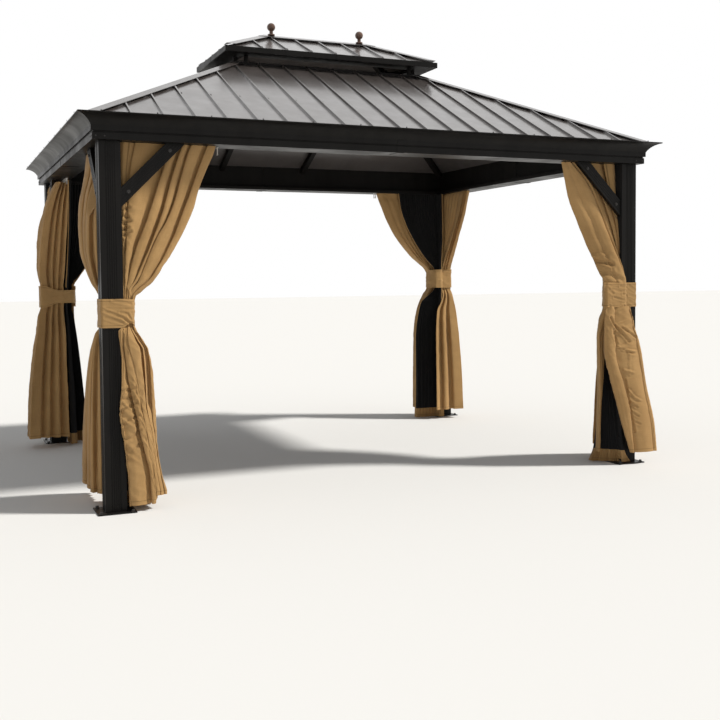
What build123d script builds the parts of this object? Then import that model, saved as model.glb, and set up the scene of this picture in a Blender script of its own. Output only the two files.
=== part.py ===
from build123d import *
from math import sqrt
import os

# Open garden gazebo of dark aluminium with a two-tier steel roof and tied-back curtains.
# Millimetres, +Z up, front along -Y, the long way along X.
# The origin is the middle of the floor, at the underside of the base plates.

# Overall sizes
ROOF_LENGTH = 3900.0      # cornice lip to lip along X
ROOF_DEPTH = 3080.0       # cornice lip to lip along Y
CLEAR_HEIGHT = 2080.0     # floor to the underside of the beams
LIP_OVERHANG = 125.0      # cornice lip beyond the posts' outer faces

# Posts and base plates
POST_WIDTH = 120.0
FLUTE_COUNT = 5           # fine grooves down the middle of each face
FLUTE_SPACING = 12.0
FLUTE_WIDTH = 5.0
FLUTE_DEPTH = 2.5
PLATE_WIDTH = 216.0
PLATE_THICKNESS = 6.0
PLATE_CORNER = 8.0
BOLT_SPACING = 172.0
BOLT_HOLE = 13.0

# Beams and cornice, in steps outward from the posts' outer faces and up from the beams
BEAM_PROUD = 37.0         # beam face beyond the posts' outer faces
BEAM_WIDTH = 120.0
BAND_HEIGHT = 39.0        # plain band of the beam that shows under the cornice
CORNICE_BACK = 20.0       # face where the cornice is fixed to the beam
GROOVE_HEIGHT = 8.0       # shadow line between band and fillet
GROOVE_PROUD = 33.0
FILLET_PROUD = 46.0
FILLET_HEIGHT = 29.0
COVE_HEIGHT = 57.0
LIP_HEIGHT = 7.0
LIP_THICKNESS = 3.0
LIP_DEPTH = 3.0           # lip above the gutter behind it
SLEEVE_LENGTH = 50.0      # joint sleeves at the middle of each side
SLEEVE_THICKNESS = 2.0
BEAM_SPLIT = 2.0          # gap between a beam's two lengths, inside the sleeve
FASCIA_SPLIT = 3.0        # gap between the two lengths of the upper fascia on each side

# Corner braces
BRACE_REACH = 366.0       # lower edge, along post and along beam
BRACE_WIDTH = 76.0
BRACE_THICKNESS = 34.0
BRACE_INSET = 8.0         # behind the posts' outer faces
BRACE_FLUTE_COUNT = 4
BRACE_FLUTE_SPACING = 15.0
BRACE_FLUTE_WIDTH = 6.0
BRACE_FLUTE_DEPTH = 2.0

# Lower roof
LOWER_PITCH = 0.5         # rise over run
EAVE_DROP = 39.0          # roof plane below the lip's top, at the lip
EAVE_INSET = 45.0         # foot of the roof sheets behind the lip
SHEET_THICKNESS = 3.0
RIB_SPACING = 183.5
RIB_WIDTH = 16.0
RIB_TOP = 9.0
RIB_HEIGHT = 15.0
CAP_WING = 46.0           # width of each wing of a hip or ridge cap, which lie on the ribs
CAP_THICKNESS = 3.0
TOP_HALF_DEPTH = 300.0    # half of the roof's top opening, along Y

# Frame under the roof
RAFTER_WIDTH = 40.0
RAFTER_HEIGHT = 50.0
RAFTER_OFFSET = 367.0     # rafters of the long sides, from the middle
RING_WIDTH = 40.0
RING_HEIGHT = 80.0
CURB_UPSTAND = 16.0       # ring above the lower roof's top edge
VENT_HEIGHT = 44.0        # open gap between the curb and the upper soffit
UPRIGHT_WIDTH = 24.0
UPRIGHT_INSET = 80.0      # from the ring's outer corners

# Upper roof
UPPER_HALF_DEPTH = 400.0
UPPER_PITCH = 0.44
SOFFIT_THICKNESS = 4.0
FASCIA_HEIGHT = 38.0
FASCIA_THICKNESS = 10.0
UPPER_EAVE_DROP = 6.0     # roof plane below the fascia's top

# Ball finials
FINIAL_INSET = 60.0       # from the ridge's ends
BALL_RADIUS = 30.0
FINIAL_FOOT_RADIUS = 26.0
FINIAL_FOOT_HEIGHT = 8.0
FINIAL_NECK_RADIUS = 13.0
FINIAL_HEIGHT = 90.0      # foot to the top of the ball

# Curtains, netting and tie bands
TRACK_WIDTH = 60.0        # two grooves: curtains in the outer one, nets in the inner one
TRACK_HEIGHT = 26.0
CURTAIN_TOP_DROP = 3.0    # top of the cloth below the track
CURTAIN_HEM = 85.0        # hem above the floor
CURTAIN_IN = 112.0        # inner face of the curtains, from the posts' outer faces
CURTAIN_TOP_OUT = 70.0
CURTAIN_WAIST_OUT = 26.0
CURTAIN_HEM_OUT = -30.0
SHORT_WAIST = 82.0        # gathered cloth at the tie, along the short sides
DRAPE_POWER = 1.8         # how early a drape opens above its tie: 1 is a straight edge
DRAPE_STEPS = 4           # stretches of a drape between its tie and the track
NET_LONG_TOP = 430.0      # spread of the nets at the track
NET_SHORT_TOP = 360.0
NET_DEPTH = 40.0
NET_WAIST = 62.0
NET_HEM = 180.0
TIE_HEIGHT = 170.0
TIE_THICKNESS = 4.0

# The four corners: the tie's middle below the beams, the gathered cloth at the tie along the
# long side, and how far the curtains of both sides spread at the track and at the hem
FRONT_LEFT_TIE_DROP = 950.0
FRONT_LEFT_WAIST = 82.0
FRONT_LEFT_LONG_TOP = 560.0
FRONT_LEFT_LONG_HEM = 240.0
FRONT_LEFT_SHORT_TOP = 700.0
FRONT_LEFT_SHORT_HEM = 500.0
FRONT_RIGHT_TIE_DROP = 902.0
FRONT_RIGHT_WAIST = 160.0
FRONT_RIGHT_LONG_TOP = 480.0
FRONT_RIGHT_LONG_HEM = 210.0
FRONT_RIGHT_SHORT_TOP = 560.0
FRONT_RIGHT_SHORT_HEM = 260.0
BACK_LEFT_TIE_DROP = 900.0
BACK_LEFT_WAIST = 82.0
BACK_LEFT_LONG_TOP = 420.0
BACK_LEFT_LONG_HEM = 200.0
BACK_LEFT_SHORT_TOP = 560.0
BACK_LEFT_SHORT_HEM = 300.0
BACK_RIGHT_TIE_DROP = 783.0
BACK_RIGHT_WAIST = 82.0
BACK_RIGHT_LONG_TOP = 600.0
BACK_RIGHT_LONG_HEM = 240.0
BACK_RIGHT_SHORT_TOP = 470.0
BACK_RIGHT_SHORT_HEM = 260.0

# Fold of the front right curtain that hangs in front of its post, below the tie
APRON_TIE_OUT = 24.0      # beyond the post's front face
APRON_HEM_OUT = 110.0
APRON_HEM_SIDE = 110.0    # beyond the post's outer side face

# Clearances
SEAT = 0.3                # between pieces that rest on each other
MITRE = 0.2               # each side of a mitred corner

# Derived sizes
POST_X = ROOF_LENGTH / 2 - LIP_OVERHANG     # posts' outer faces
POST_Y = ROOF_DEPTH / 2 - LIP_OVERHANG
HALF_DIFFERENCE = (ROOF_LENGTH - ROOF_DEPTH) / 2   # half of the ridge
BAND_TOP = CLEAR_HEIGHT + BAND_HEIGHT
FILLET_BOTTOM = BAND_TOP + GROOVE_HEIGHT
FILLET_TOP = FILLET_BOTTOM + FILLET_HEIGHT
COVE_TOP = FILLET_TOP + COVE_HEIGHT
LIP_TOP = COVE_TOP + LIP_HEIGHT
BEAM_INNER = BEAM_PROUD - BEAM_WIDTH        # beam's inner face, outward from the posts
SHEET_RISE = SHEET_THICKNESS * sqrt(1 + LOWER_PITCH ** 2)   # sheet's thickness, upright
UPPER_SHEET_RISE = SHEET_THICKNESS * sqrt(1 + UPPER_PITCH ** 2)
ROOF_FOOT = LIP_OVERHANG - EAVE_INSET
RING_OUT = TOP_HALF_DEPTH - POST_Y          # ring's outer face, outward from the posts
BIG = 3 * ROOF_LENGTH


def roof_z(out):
    """Top of the lower sheets at a distance outward from the posts."""
    return LIP_TOP - EAVE_DROP + LOWER_PITCH * (LIP_OVERHANG - out)


RING_TOP = roof_z(RING_OUT) + CURB_UPSTAND
SOFFIT_BOTTOM = RING_TOP + VENT_HEIGHT
FASCIA_TOP = SOFFIT_BOTTOM + FASCIA_HEIGHT
UPPER_OUT = UPPER_HALF_DEPTH - POST_Y       # upper fascia's face, outward from the posts
NET_BOTTOM = PLATE_THICKNESS + SEAT         # the nets lie on the base plates


def upper_z(out):
    """Top of the upper sheets at a distance outward from the posts."""
    return FASCIA_TOP - UPPER_EAVE_DROP + UPPER_PITCH * (UPPER_OUT - out)


SIDES = {
    "front": (POST_X, POST_Y, 0),
    "right": (POST_Y, POST_X, 90),
    "back": (POST_X, POST_Y, 180),
    "left": (POST_Y, POST_X, 270),
}


def upright_prism(points, low, high):
    """Prism over a plan outline."""
    outline = make_face(Polyline(*[(x, y, low) for x, y in points], close=True))
    return extrude(outline, high - low, dir=(0, 0, 1))


def bar_along_x(section, reach, start, end):
    """Bar of a section given as (outward, up), on the -Y side, from start to end."""
    outline = make_face(Polyline(*[(start, -(reach + out), z) for out, z in section], close=True))
    return extrude(outline, end - start, dir=(1, 0, 0))


def side_region(half, reach, gap):
    """Wedge between the 45 degree lines from a side's two corners."""
    far = 2 * LIP_OVERHANG
    near = -min(half, reach) + gap
    points = [
        (-(half + far - gap), -(reach + far)),
        (half + far - gap, -(reach + far)),
        (half + near - gap, -(reach + near)),
        (-(half + near - gap), -(reach + near)),
    ]
    if half + near - gap < SEAT:
        points = points[:2] + [(0, -(reach + near))]
    return upright_prism(points, -BIG, BIG)


def mitred(section, side, gap=MITRE):
    """Bar along one side, mitred at both corners and turned to its place."""
    half, reach, turn = SIDES[side]
    bar = bar_along_x(section, reach, -half - 2 * LIP_OVERHANG, half + 2 * LIP_OVERHANG)
    return Rot(0, 0, turn) * (bar & side_region(half, reach, gap))


def even_places(count, pitch):
    """Places of a row of like things about its middle."""
    return [(index - (count - 1) / 2) * pitch for index in range(count)]


def post(sx, sy):
    half = POST_WIDTH / 2
    body = upright_prism([(-half, -half), (half, -half), (half, half), (-half, half)],
                         PLATE_THICKNESS, CLEAR_HEIGHT)
    flutes = []
    for turn in range(0, 360, 90):
        for place in even_places(FLUTE_COUNT, FLUTE_SPACING):
            cut = Box(FLUTE_WIDTH, FLUTE_DEPTH, BIG)
            flutes.append(Rot(0, 0, turn) * Pos(place, -half + FLUTE_DEPTH / 2, 0) * cut)
    body = body - flutes
    return Pos(sx * (POST_X - half), sy * (POST_Y - half), 0) * body


def base_plate(sx, sy):
    half = POST_WIDTH / 2
    plate = extrude(RectangleRounded(PLATE_WIDTH, PLATE_WIDTH, PLATE_CORNER), PLATE_THICKNESS)
    place = BOLT_SPACING / 2
    holes = [Pos(x, y, 0) * Cylinder(BOLT_HOLE / 2, BIG) for x in (-place, place) for y in (-place, place)]
    return Pos(sx * (POST_X - half), sy * (POST_Y - half), 0) * (plate - holes)


def beam(side):
    """Perimeter beam in two lengths, its top cut to the slope of the roof sheets."""
    section = [
        (BEAM_PROUD, CLEAR_HEIGHT),
        (BEAM_PROUD, BAND_TOP),
        (CORNICE_BACK - SEAT, BAND_TOP),
        (CORNICE_BACK - SEAT, roof_z(CORNICE_BACK - SEAT) - SHEET_RISE - SEAT),
        (BEAM_INNER, roof_z(BEAM_INNER) - SHEET_RISE - SEAT),
        (BEAM_INNER, CLEAR_HEIGHT),
    ]
    split = Rot(0, 0, SIDES[side][2]) * Box(BEAM_SPLIT, BIG, BIG)
    return mitred(section, side) - split


def beam_sleeve(side):
    """Angle over the face and the underside of the joint in the middle of a beam."""
    outer = BEAM_PROUD + SEAT + SLEEVE_THICKNESS
    low = CLEAR_HEIGHT - SEAT - SLEEVE_THICKNESS
    section = [
        (BEAM_PROUD + SEAT, BAND_TOP),
        (outer, BAND_TOP),
        (outer, low),
        (BEAM_INNER, low),
        (BEAM_INNER, CLEAR_HEIGHT - SEAT),
        (BEAM_PROUD + SEAT, CLEAR_HEIGHT - SEAT),
    ]
    half, reach, turn = SIDES[side]
    return Rot(0, 0, turn) * bar_along_x(section, reach, -SLEEVE_LENGTH / 2, SLEEVE_LENGTH / 2)


def cornice(side):
    """Fillet, hollow cove and thin lip, with a shallow gutter behind the lip."""
    half, reach, turn = SIDES[side]
    start = -half - 2 * LIP_OVERHANG
    rebate = ROOF_FOOT + SEAT
    section = [
        (LIP_OVERHANG, COVE_TOP),
        (LIP_OVERHANG, LIP_TOP),
        (LIP_OVERHANG - LIP_THICKNESS, LIP_TOP),
        (LIP_OVERHANG - LIP_THICKNESS, LIP_TOP - LIP_DEPTH),
        (rebate, roof_z(ROOF_FOOT)),
        (rebate, roof_z(rebate) - SHEET_RISE - SEAT),
        (CORNICE_BACK, roof_z(CORNICE_BACK) - SHEET_RISE - SEAT),
        (CORNICE_BACK, BAND_TOP + SEAT),
        (GROOVE_PROUD, BAND_TOP + SEAT),
        (GROOVE_PROUD, FILLET_BOTTOM),
        (FILLET_PROUD, FILLET_BOTTOM),
        (FILLET_PROUD, FILLET_TOP),
    ]
    points = [(start, -(reach + out), z) for out, z in section]
    cove_middle = (start,
                   -(reach + FILLET_PROUD + 0.36 * (LIP_OVERHANG - FILLET_PROUD)),
                   FILLET_TOP + 0.62 * COVE_HEIGHT)
    edges = Polyline(*points) + ThreePointArc(points[-1], cove_middle, points[0])
    bar = extrude(make_face(edges), -2 * start, dir=(1, 0, 0))
    return Rot(0, 0, turn) * (bar & side_region(half, reach, MITRE))


def cornice_strap(side):
    """Thin cover over the cornice's joint, on the fillet."""
    section = [
        (FILLET_PROUD + SEAT, FILLET_BOTTOM),
        (FILLET_PROUD + SEAT + SLEEVE_THICKNESS, FILLET_BOTTOM),
        (FILLET_PROUD + SEAT + SLEEVE_THICKNESS, FILLET_TOP),
        (FILLET_PROUD + SEAT, FILLET_TOP),
    ]
    half, reach, turn = SIDES[side]
    return Rot(0, 0, turn) * bar_along_x(section, reach, -SLEEVE_LENGTH / 2, SLEEVE_LENGTH / 2)


def brace(sx, sy, along_x):
    """Diagonal bar from post to beam, in the plane of its side."""
    half_t = BRACE_THICKNESS / 2
    bar = Box(2 * BRACE_REACH, BRACE_THICKNESS, BRACE_WIDTH)
    flutes = []
    for face in (-1, 1):
        for place in even_places(BRACE_FLUTE_COUNT, BRACE_FLUTE_SPACING):
            cut = Box(2 * BRACE_REACH, BRACE_FLUTE_DEPTH, BRACE_FLUTE_WIDTH)
            flutes.append(Pos(0, face * (half_t - BRACE_FLUTE_DEPTH / 2), place) * cut)
    bar = Rot(0, -45, 0) * (bar - flutes)
    middle = (BRACE_REACH - BRACE_WIDTH / sqrt(2)) / 2
    bar = Pos(middle, 0, -middle) * bar
    keep = Pos(SEAT + BRACE_REACH, 0, -SEAT - BRACE_REACH) * Box(2 * BRACE_REACH, BIG, 2 * BRACE_REACH)
    bar = bar & keep
    post_x = POST_X if along_x else POST_Y
    post_y = POST_Y if along_x else POST_X
    bar = Pos(-post_x + POST_WIDTH, -post_y + BRACE_INSET + half_t, CLEAR_HEIGHT) * bar
    return to_corner(bar, sx, sy, along_x)


def to_corner(shape, sx, sy, along_x):
    """Moves a shape made at the front left, with its side along X, to a corner and side."""
    if not along_x:
        shape = mirror(Rot(0, 0, 90) * shape, Plane.YZ)
    if sx > 0:
        shape = mirror(shape, Plane.YZ)
    if sy > 0:
        shape = mirror(shape, Plane.XZ)
    return shape


def lower_sheet(side):
    """One slope of the lower roof."""
    return ribbed_sheet(side, ROOF_FOOT, RING_OUT + SEAT, roof_z, SHEET_RISE)


def upper_sheet(side):
    """One slope of the upper roof."""
    foot = UPPER_OUT - FASCIA_THICKNESS - SEAT
    return ribbed_sheet(side, foot, MITRE - POST_Y, upper_z, UPPER_SHEET_RISE)


def ribbed_sheet(side, foot, top, height, rise):
    """Flat sheet from its foot to its top, with standing ribs, all cut along the hips."""
    half, reach, turn = SIDES[side]
    plate = [(foot, height(foot)), (top, height(top)), (top, height(top) - rise), (foot, height(foot) - rise)]
    end = half + LIP_OVERHANG
    sheet = bar_along_x(plate, reach, -end, end)
    corner_room = CAP_WING * sqrt(2) + RIB_WIDTH / 2
    each_side = int((half + foot - corner_room) / RIB_SPACING)
    ribs = []
    for index in range(-each_side, each_side + 1):
        middle = index * RIB_SPACING
        stop = max(top, abs(middle) - RIB_WIDTH / 2 - half)
        ribs.append(rib(reach, middle, foot, stop, height, rise))
    return Rot(0, 0, turn) * ((sheet + ribs) & side_region(half, reach, MITRE))


def rib(reach, middle, foot, stop, height, rise):
    """Standing rib of trapezoid section, running up the slope."""
    wide = RIB_WIDTH / 2
    narrow = RIB_TOP / 2
    sunk = rise / 2
    base = [(-wide, -sunk), (wide, -sunk), (wide, 0), (narrow, RIB_HEIGHT), (-narrow, RIB_HEIGHT), (-wide, 0)]
    low = Polyline(*[(middle + x, -(reach + foot), height(foot) + z) for x, z in base], close=True)
    direction = (0, foot - stop, height(stop) - height(foot))
    return extrude(make_face(low), sqrt(direction[1] ** 2 + direction[2] ** 2), dir=direction)


def hip_cap(foot, top, height):
    """Bent strip over the front left hip, a wing on the ribs of each slope."""
    wings = []
    for side, mirrored in (("front", 1), ("left", -1)):
        half, reach, turn = SIDES[side]
        low = RIB_HEIGHT + SEAT
        high = low + CAP_THICKNESS
        section = [(foot, height(foot) + low), (top, height(top) + low),
                   (top, height(top) + high), (foot, height(foot) + high)]
        bar = bar_along_x(section, reach, -half - LIP_OVERHANG, half + LIP_OVERHANG)
        strip = CAP_WING * sqrt(2)
        far = half + 2 * LIP_OVERHANG
        near = half - min(half, reach)
        corners = [(-far, -reach - 2 * LIP_OVERHANG), (-near, -reach + min(half, reach)),
                   (-near + strip, -reach + min(half, reach)), (-far + strip, -reach - 2 * LIP_OVERHANG)]
        if mirrored < 0:
            corners = [(-x, y) for x, y in corners]
        wings.append(Rot(0, 0, turn) * (bar & upright_prism(corners, -BIG, BIG)))
    return wings[0] + wings[1]


def four_hips(shape):
    """Copies of a front left hip piece on all four hips."""
    across = mirror(shape, Plane.YZ)
    return [shape, across, mirror(shape, Plane.XZ), mirror(across, Plane.XZ)]


def ridge_cap():
    """Bent strip over the ridge, between the hips."""
    crown = upper_z(-POST_Y)
    fall = UPPER_PITCH * CAP_WING
    low = RIB_HEIGHT + SEAT
    high = low + CAP_THICKNESS
    points = [(-CAP_WING, crown - fall + low), (0, crown + low), (CAP_WING, crown - fall + low),
              (CAP_WING, crown - fall + high), (0, crown + high), (-CAP_WING, crown - fall + high)]
    length = 2 * HALF_DIFFERENCE
    outline = make_face(Polyline(*[(-length / 2, y, z) for y, z in points], close=True))
    cap = extrude(outline, length, dir=(1, 0, 0))
    notch = upright_prism([(HALF_DIFFERENCE - CAP_WING, -CAP_WING * 2), (BIG, -CAP_WING * 2),
                           (BIG, CAP_WING * 2), (HALF_DIFFERENCE - CAP_WING, CAP_WING * 2)], -BIG, BIG)
    return cap - notch - mirror(notch, Plane.YZ)


def hip_rafter():
    """Bar under the front left hip, from the beams' inner corner to the ring."""
    half = RAFTER_WIDTH / 2
    foot = BEAM_INNER - SEAT - half / sqrt(2)
    top = RING_OUT + SEAT
    drop = SHEET_RISE + SEAT + LOWER_PITCH * half / sqrt(2)
    section = [(foot, roof_z(foot) - drop), (top, roof_z(top) - drop),
               (top, roof_z(top) - drop - RAFTER_HEIGHT), (foot, roof_z(foot) - drop - RAFTER_HEIGHT)]
    return hip_bar(section)


def hip_bar(section):
    """Bar along the plan of the front left hip, of an upright outline given as (outward, up)."""
    points = [(-(POST_Y + out) * sqrt(2), -RAFTER_WIDTH / 2, z) for out, z in section]
    bar = extrude(make_face(Polyline(*points, close=True)), RAFTER_WIDTH, dir=(0, 1, 0))
    return Pos(-HALF_DIFFERENCE, 0, 0) * Rot(0, 0, 45) * bar


def common_rafter(side, place):
    """Bar from a beam's inner face up to the ring."""
    half, reach, turn = SIDES[side]
    foot = BEAM_INNER - SEAT
    top = RING_OUT + SEAT
    drop = SHEET_RISE + SEAT
    section = [(foot, roof_z(foot) - drop), (top, roof_z(top) - drop),
               (top, roof_z(top) - drop - RAFTER_HEIGHT), (foot, roof_z(foot) - drop - RAFTER_HEIGHT)]
    bar = bar_along_x(section, reach, place - RAFTER_WIDTH / 2, place + RAFTER_WIDTH / 2)
    return Rot(0, 0, turn) * bar


def ring_bar(side):
    """One side of the ring that the rafters meet, standing up as a curb."""
    section = [(RING_OUT, RING_TOP - RING_HEIGHT), (RING_OUT, RING_TOP),
               (RING_OUT - RING_WIDTH, RING_TOP), (RING_OUT - RING_WIDTH, RING_TOP - RING_HEIGHT)]
    return mitred(section, side)


def vent_uprights():
    """Short posts that carry the upper roof over the open vent."""
    uprights = []
    for half, reach, turn in SIDES.values():
        place = half + RING_OUT - UPRIGHT_INSET
        middle = reach + RING_OUT - RING_WIDTH / 2
        for x in (-place, place):
            upright = Box(UPRIGHT_WIDTH, UPRIGHT_WIDTH, VENT_HEIGHT - 2 * SEAT)
            uprights.append(Rot(0, 0, turn) * Pos(x, -middle, RING_TOP + VENT_HEIGHT / 2) * upright)
    return uprights


def soffit(side):
    """Flat board under the upper eave."""
    outer = UPPER_OUT - FASCIA_THICKNESS - SEAT
    inner = RING_OUT - RING_WIDTH
    section = [(outer, SOFFIT_BOTTOM), (outer, SOFFIT_BOTTOM + SOFFIT_THICKNESS),
               (inner, SOFFIT_BOTTOM + SOFFIT_THICKNESS), (inner, SOFFIT_BOTTOM)]
    return mitred(section, side)


def upper_fascia(side):
    """Band round the upper eave, in two lengths on each side."""
    inner = UPPER_OUT - FASCIA_THICKNESS
    section = [(UPPER_OUT, SOFFIT_BOTTOM), (UPPER_OUT, FASCIA_TOP), (inner, FASCIA_TOP), (inner, SOFFIT_BOTTOM)]
    split = Rot(0, 0, SIDES[side][2]) * Box(FASCIA_SPLIT, BIG, BIG)
    return mitred(section, side) - split


def upper_rafter():
    """Bar under the front left hip of the upper roof, from the soffit's corner to the ridge."""
    half = RAFTER_WIDTH / 2
    foot = UPPER_OUT - 2 * FASCIA_THICKNESS - half
    top = RAFTER_WIDTH - POST_Y
    drop = UPPER_SHEET_RISE + SEAT + UPPER_PITCH * half / sqrt(2)
    floor = SOFFIT_BOTTOM + SOFFIT_THICKNESS + SEAT
    section = [(foot, upper_z(foot) - drop), (top, upper_z(top) - drop),
               (top, upper_z(top) - drop - RAFTER_HEIGHT), (RING_OUT, floor), (foot, floor)]
    return hip_bar(section)


def ridge_beam():
    half = RAFTER_WIDTH / 2
    top = upper_z(-POST_Y) - UPPER_SHEET_RISE - SEAT - UPPER_PITCH * half
    length = 2 * (HALF_DIFFERENCE - half)
    return Pos(0, 0, top - RAFTER_HEIGHT / 2) * Box(length, RAFTER_WIDTH, RAFTER_HEIGHT)


def finial(sx):
    """Turned foot and neck under a ball, on the ridge cap."""
    foot_z = upper_z(-POST_Y) + RIB_HEIGHT + SEAT + CAP_THICKNESS
    middle = foot_z + FINIAL_HEIGHT - BALL_RADIUS
    foot = Pos(0, 0, foot_z + FINIAL_FOOT_HEIGHT / 2) * Cylinder(FINIAL_FOOT_RADIUS, FINIAL_FOOT_HEIGHT)
    neck_height = middle - foot_z
    neck = Pos(0, 0, foot_z + neck_height / 2) * Cylinder(FINIAL_NECK_RADIUS, neck_height)
    ball = Pos(0, 0, middle) * Sphere(BALL_RADIUS)
    return Pos(sx * (HALF_DIFFERENCE - FINIAL_INSET), 0, 0) * (foot + neck + ball)


def track(side):
    """Curtain rail round the beams' inner faces, mitred at the corners."""
    outer = BEAM_INNER - SEAT
    section = [(outer, CLEAR_HEIGHT + SEAT), (outer, CLEAR_HEIGHT + TRACK_HEIGHT),
               (outer - TRACK_WIDTH, CLEAR_HEIGHT + TRACK_HEIGHT), (outer - TRACK_WIDTH, CLEAR_HEIGHT + SEAT)]
    return mitred(section, side)


def lofted(levels):
    """Solid through rectangles, each given as x0, x1, y0, y1, z."""
    outlines = []
    for x0, x1, y0, y1, z in levels:
        outlines.append(make_face(Polyline((x0, y0, z), (x1, y0, z), (x1, y1, z), (x0, y1, z), close=True)))
    return loft(outlines, ruled=True)


def opened(waist, spread, share):
    """Length of a drape at a share of the way from its tie up to the track."""
    return waist + (spread - waist) * (1 - (1 - share) ** DRAPE_POWER)


def curtain(sx, sy, tie, waist_length, top_spread, hem_spread, along_x):
    """Drape beside a post: wide at the track, gathered at the tie, flared at the hem."""
    post_x = POST_X if along_x else POST_Y
    post_y = POST_Y if along_x else POST_X
    start = -post_x + POST_WIDTH + SEAT
    inner = -post_y + CURTAIN_IN
    tie_top = tie + TIE_HEIGHT / 2
    top = CLEAR_HEIGHT - CURTAIN_TOP_DROP
    levels = [
        (start, start + hem_spread, -post_y + CURTAIN_HEM_OUT, inner, CURTAIN_HEM),
        (start, start + waist_length, -post_y + CURTAIN_WAIST_OUT, inner, tie - TIE_HEIGHT / 2),
    ]
    for step in range(DRAPE_STEPS + 1):
        share = step / DRAPE_STEPS
        out = CURTAIN_WAIST_OUT + (CURTAIN_TOP_OUT - CURTAIN_WAIST_OUT) * share
        levels.append((start, start + opened(waist_length, top_spread, share), -post_y + out, inner,
                       tie_top + (top - tie_top) * share))
    return to_corner(lofted(levels), sx, sy, along_x)


def apron(sx, sy, tie):
    """Fold of a curtain that falls in front of its post, from the tie to the hem."""
    side = -POST_X + POST_WIDTH
    front = -POST_Y - SEAT
    levels = [
        (-POST_X - APRON_HEM_SIDE, side, -POST_Y - APRON_HEM_OUT, front, CURTAIN_HEM),
        (-POST_X, side, -POST_Y - APRON_TIE_OUT, front, tie - TIE_HEIGHT / 2 - SEAT),
    ]
    return to_corner(lofted(levels), sx, sy, True)


def netting(sx, sy, tie):
    """Insect nets of both sides, behind the curtains, gathered in the post's inner corner."""
    x = -POST_X + POST_WIDTH + SEAT
    y = -POST_Y + POST_WIDTH + SEAT
    tie_top = tie + TIE_HEIGHT / 2
    top = CLEAR_HEIGHT - CURTAIN_TOP_DROP
    long_levels = []
    short_levels = []
    for size, z in ((NET_HEM, NET_BOTTOM), (NET_WAIST, tie - TIE_HEIGHT / 2)):
        long_levels.append((x, x + size, y, y + size / 2 - SEAT, z))
        short_levels.append((x, x + size, y + size / 2 + SEAT, y + size, z))
    for step in range(DRAPE_STEPS + 1):
        share = step / DRAPE_STEPS
        z = tie_top + (top - tie_top) * share
        middle = NET_WAIST / 2 + (NET_DEPTH - NET_WAIST / 2) * share
        deep = NET_WAIST + (NET_DEPTH - NET_WAIST) * share
        long_reach = opened(NET_WAIST, NET_LONG_TOP, share)
        short_reach = opened(NET_WAIST, NET_SHORT_TOP, share)
        long_levels.append((x, x + long_reach, y, y + middle - SEAT, z))
        short_levels.append((x, x + deep, y + middle + SEAT, y + short_reach, z))
    return [to_corner(lofted(levels), sx, sy, True) for levels in (long_levels, short_levels)]


def tie_band(sx, sy, tie, waist_length):
    """Cloth band round the post and the gathered curtains."""
    far_x = POST_WIDTH + SEAT + waist_length + SEAT
    far_y = POST_WIDTH + SEAT + SHORT_WAIST + SEAT
    side = CURTAIN_IN + SEAT
    near = CURTAIN_WAIST_OUT - 3 * SEAT
    net = POST_WIDTH + SEAT + NET_WAIST + SEAT
    outline = [(-SEAT, -SEAT), (POST_WIDTH, -SEAT), (far_x, near), (far_x, side), (net, net),
               (side, far_y), (near, far_y), (-SEAT, POST_WIDTH)]
    points = [(-POST_X + x, -POST_Y + y) for x, y in outline]
    inner = make_face(Polyline(*points, close=True))
    outer = offset(inner, TIE_THICKNESS, kind=Kind.INTERSECTION)
    band = extrude(outer - inner, TIE_HEIGHT, dir=(0, 0, 1))
    return to_corner(Pos(0, 0, tie - TIE_HEIGHT / 2) * band, sx, sy, True)


# corner: tie drop, waist and spreads, in the order given above
CORNERS = {
    "front_left": (FRONT_LEFT_TIE_DROP, FRONT_LEFT_WAIST, FRONT_LEFT_LONG_TOP, FRONT_LEFT_LONG_HEM,
                   FRONT_LEFT_SHORT_TOP, FRONT_LEFT_SHORT_HEM),
    "front_right": (FRONT_RIGHT_TIE_DROP, FRONT_RIGHT_WAIST, FRONT_RIGHT_LONG_TOP, FRONT_RIGHT_LONG_HEM,
                    FRONT_RIGHT_SHORT_TOP, FRONT_RIGHT_SHORT_HEM),
    "back_left": (BACK_LEFT_TIE_DROP, BACK_LEFT_WAIST, BACK_LEFT_LONG_TOP, BACK_LEFT_LONG_HEM,
                  BACK_LEFT_SHORT_TOP, BACK_LEFT_SHORT_HEM),
    "back_right": (BACK_RIGHT_TIE_DROP, BACK_RIGHT_WAIST, BACK_RIGHT_LONG_TOP, BACK_RIGHT_LONG_HEM,
                   BACK_RIGHT_SHORT_TOP, BACK_RIGHT_SHORT_HEM),
}


def corner_signs(name):
    return (-1 if "left" in name else 1), (-1 if "front" in name else 1)


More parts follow.
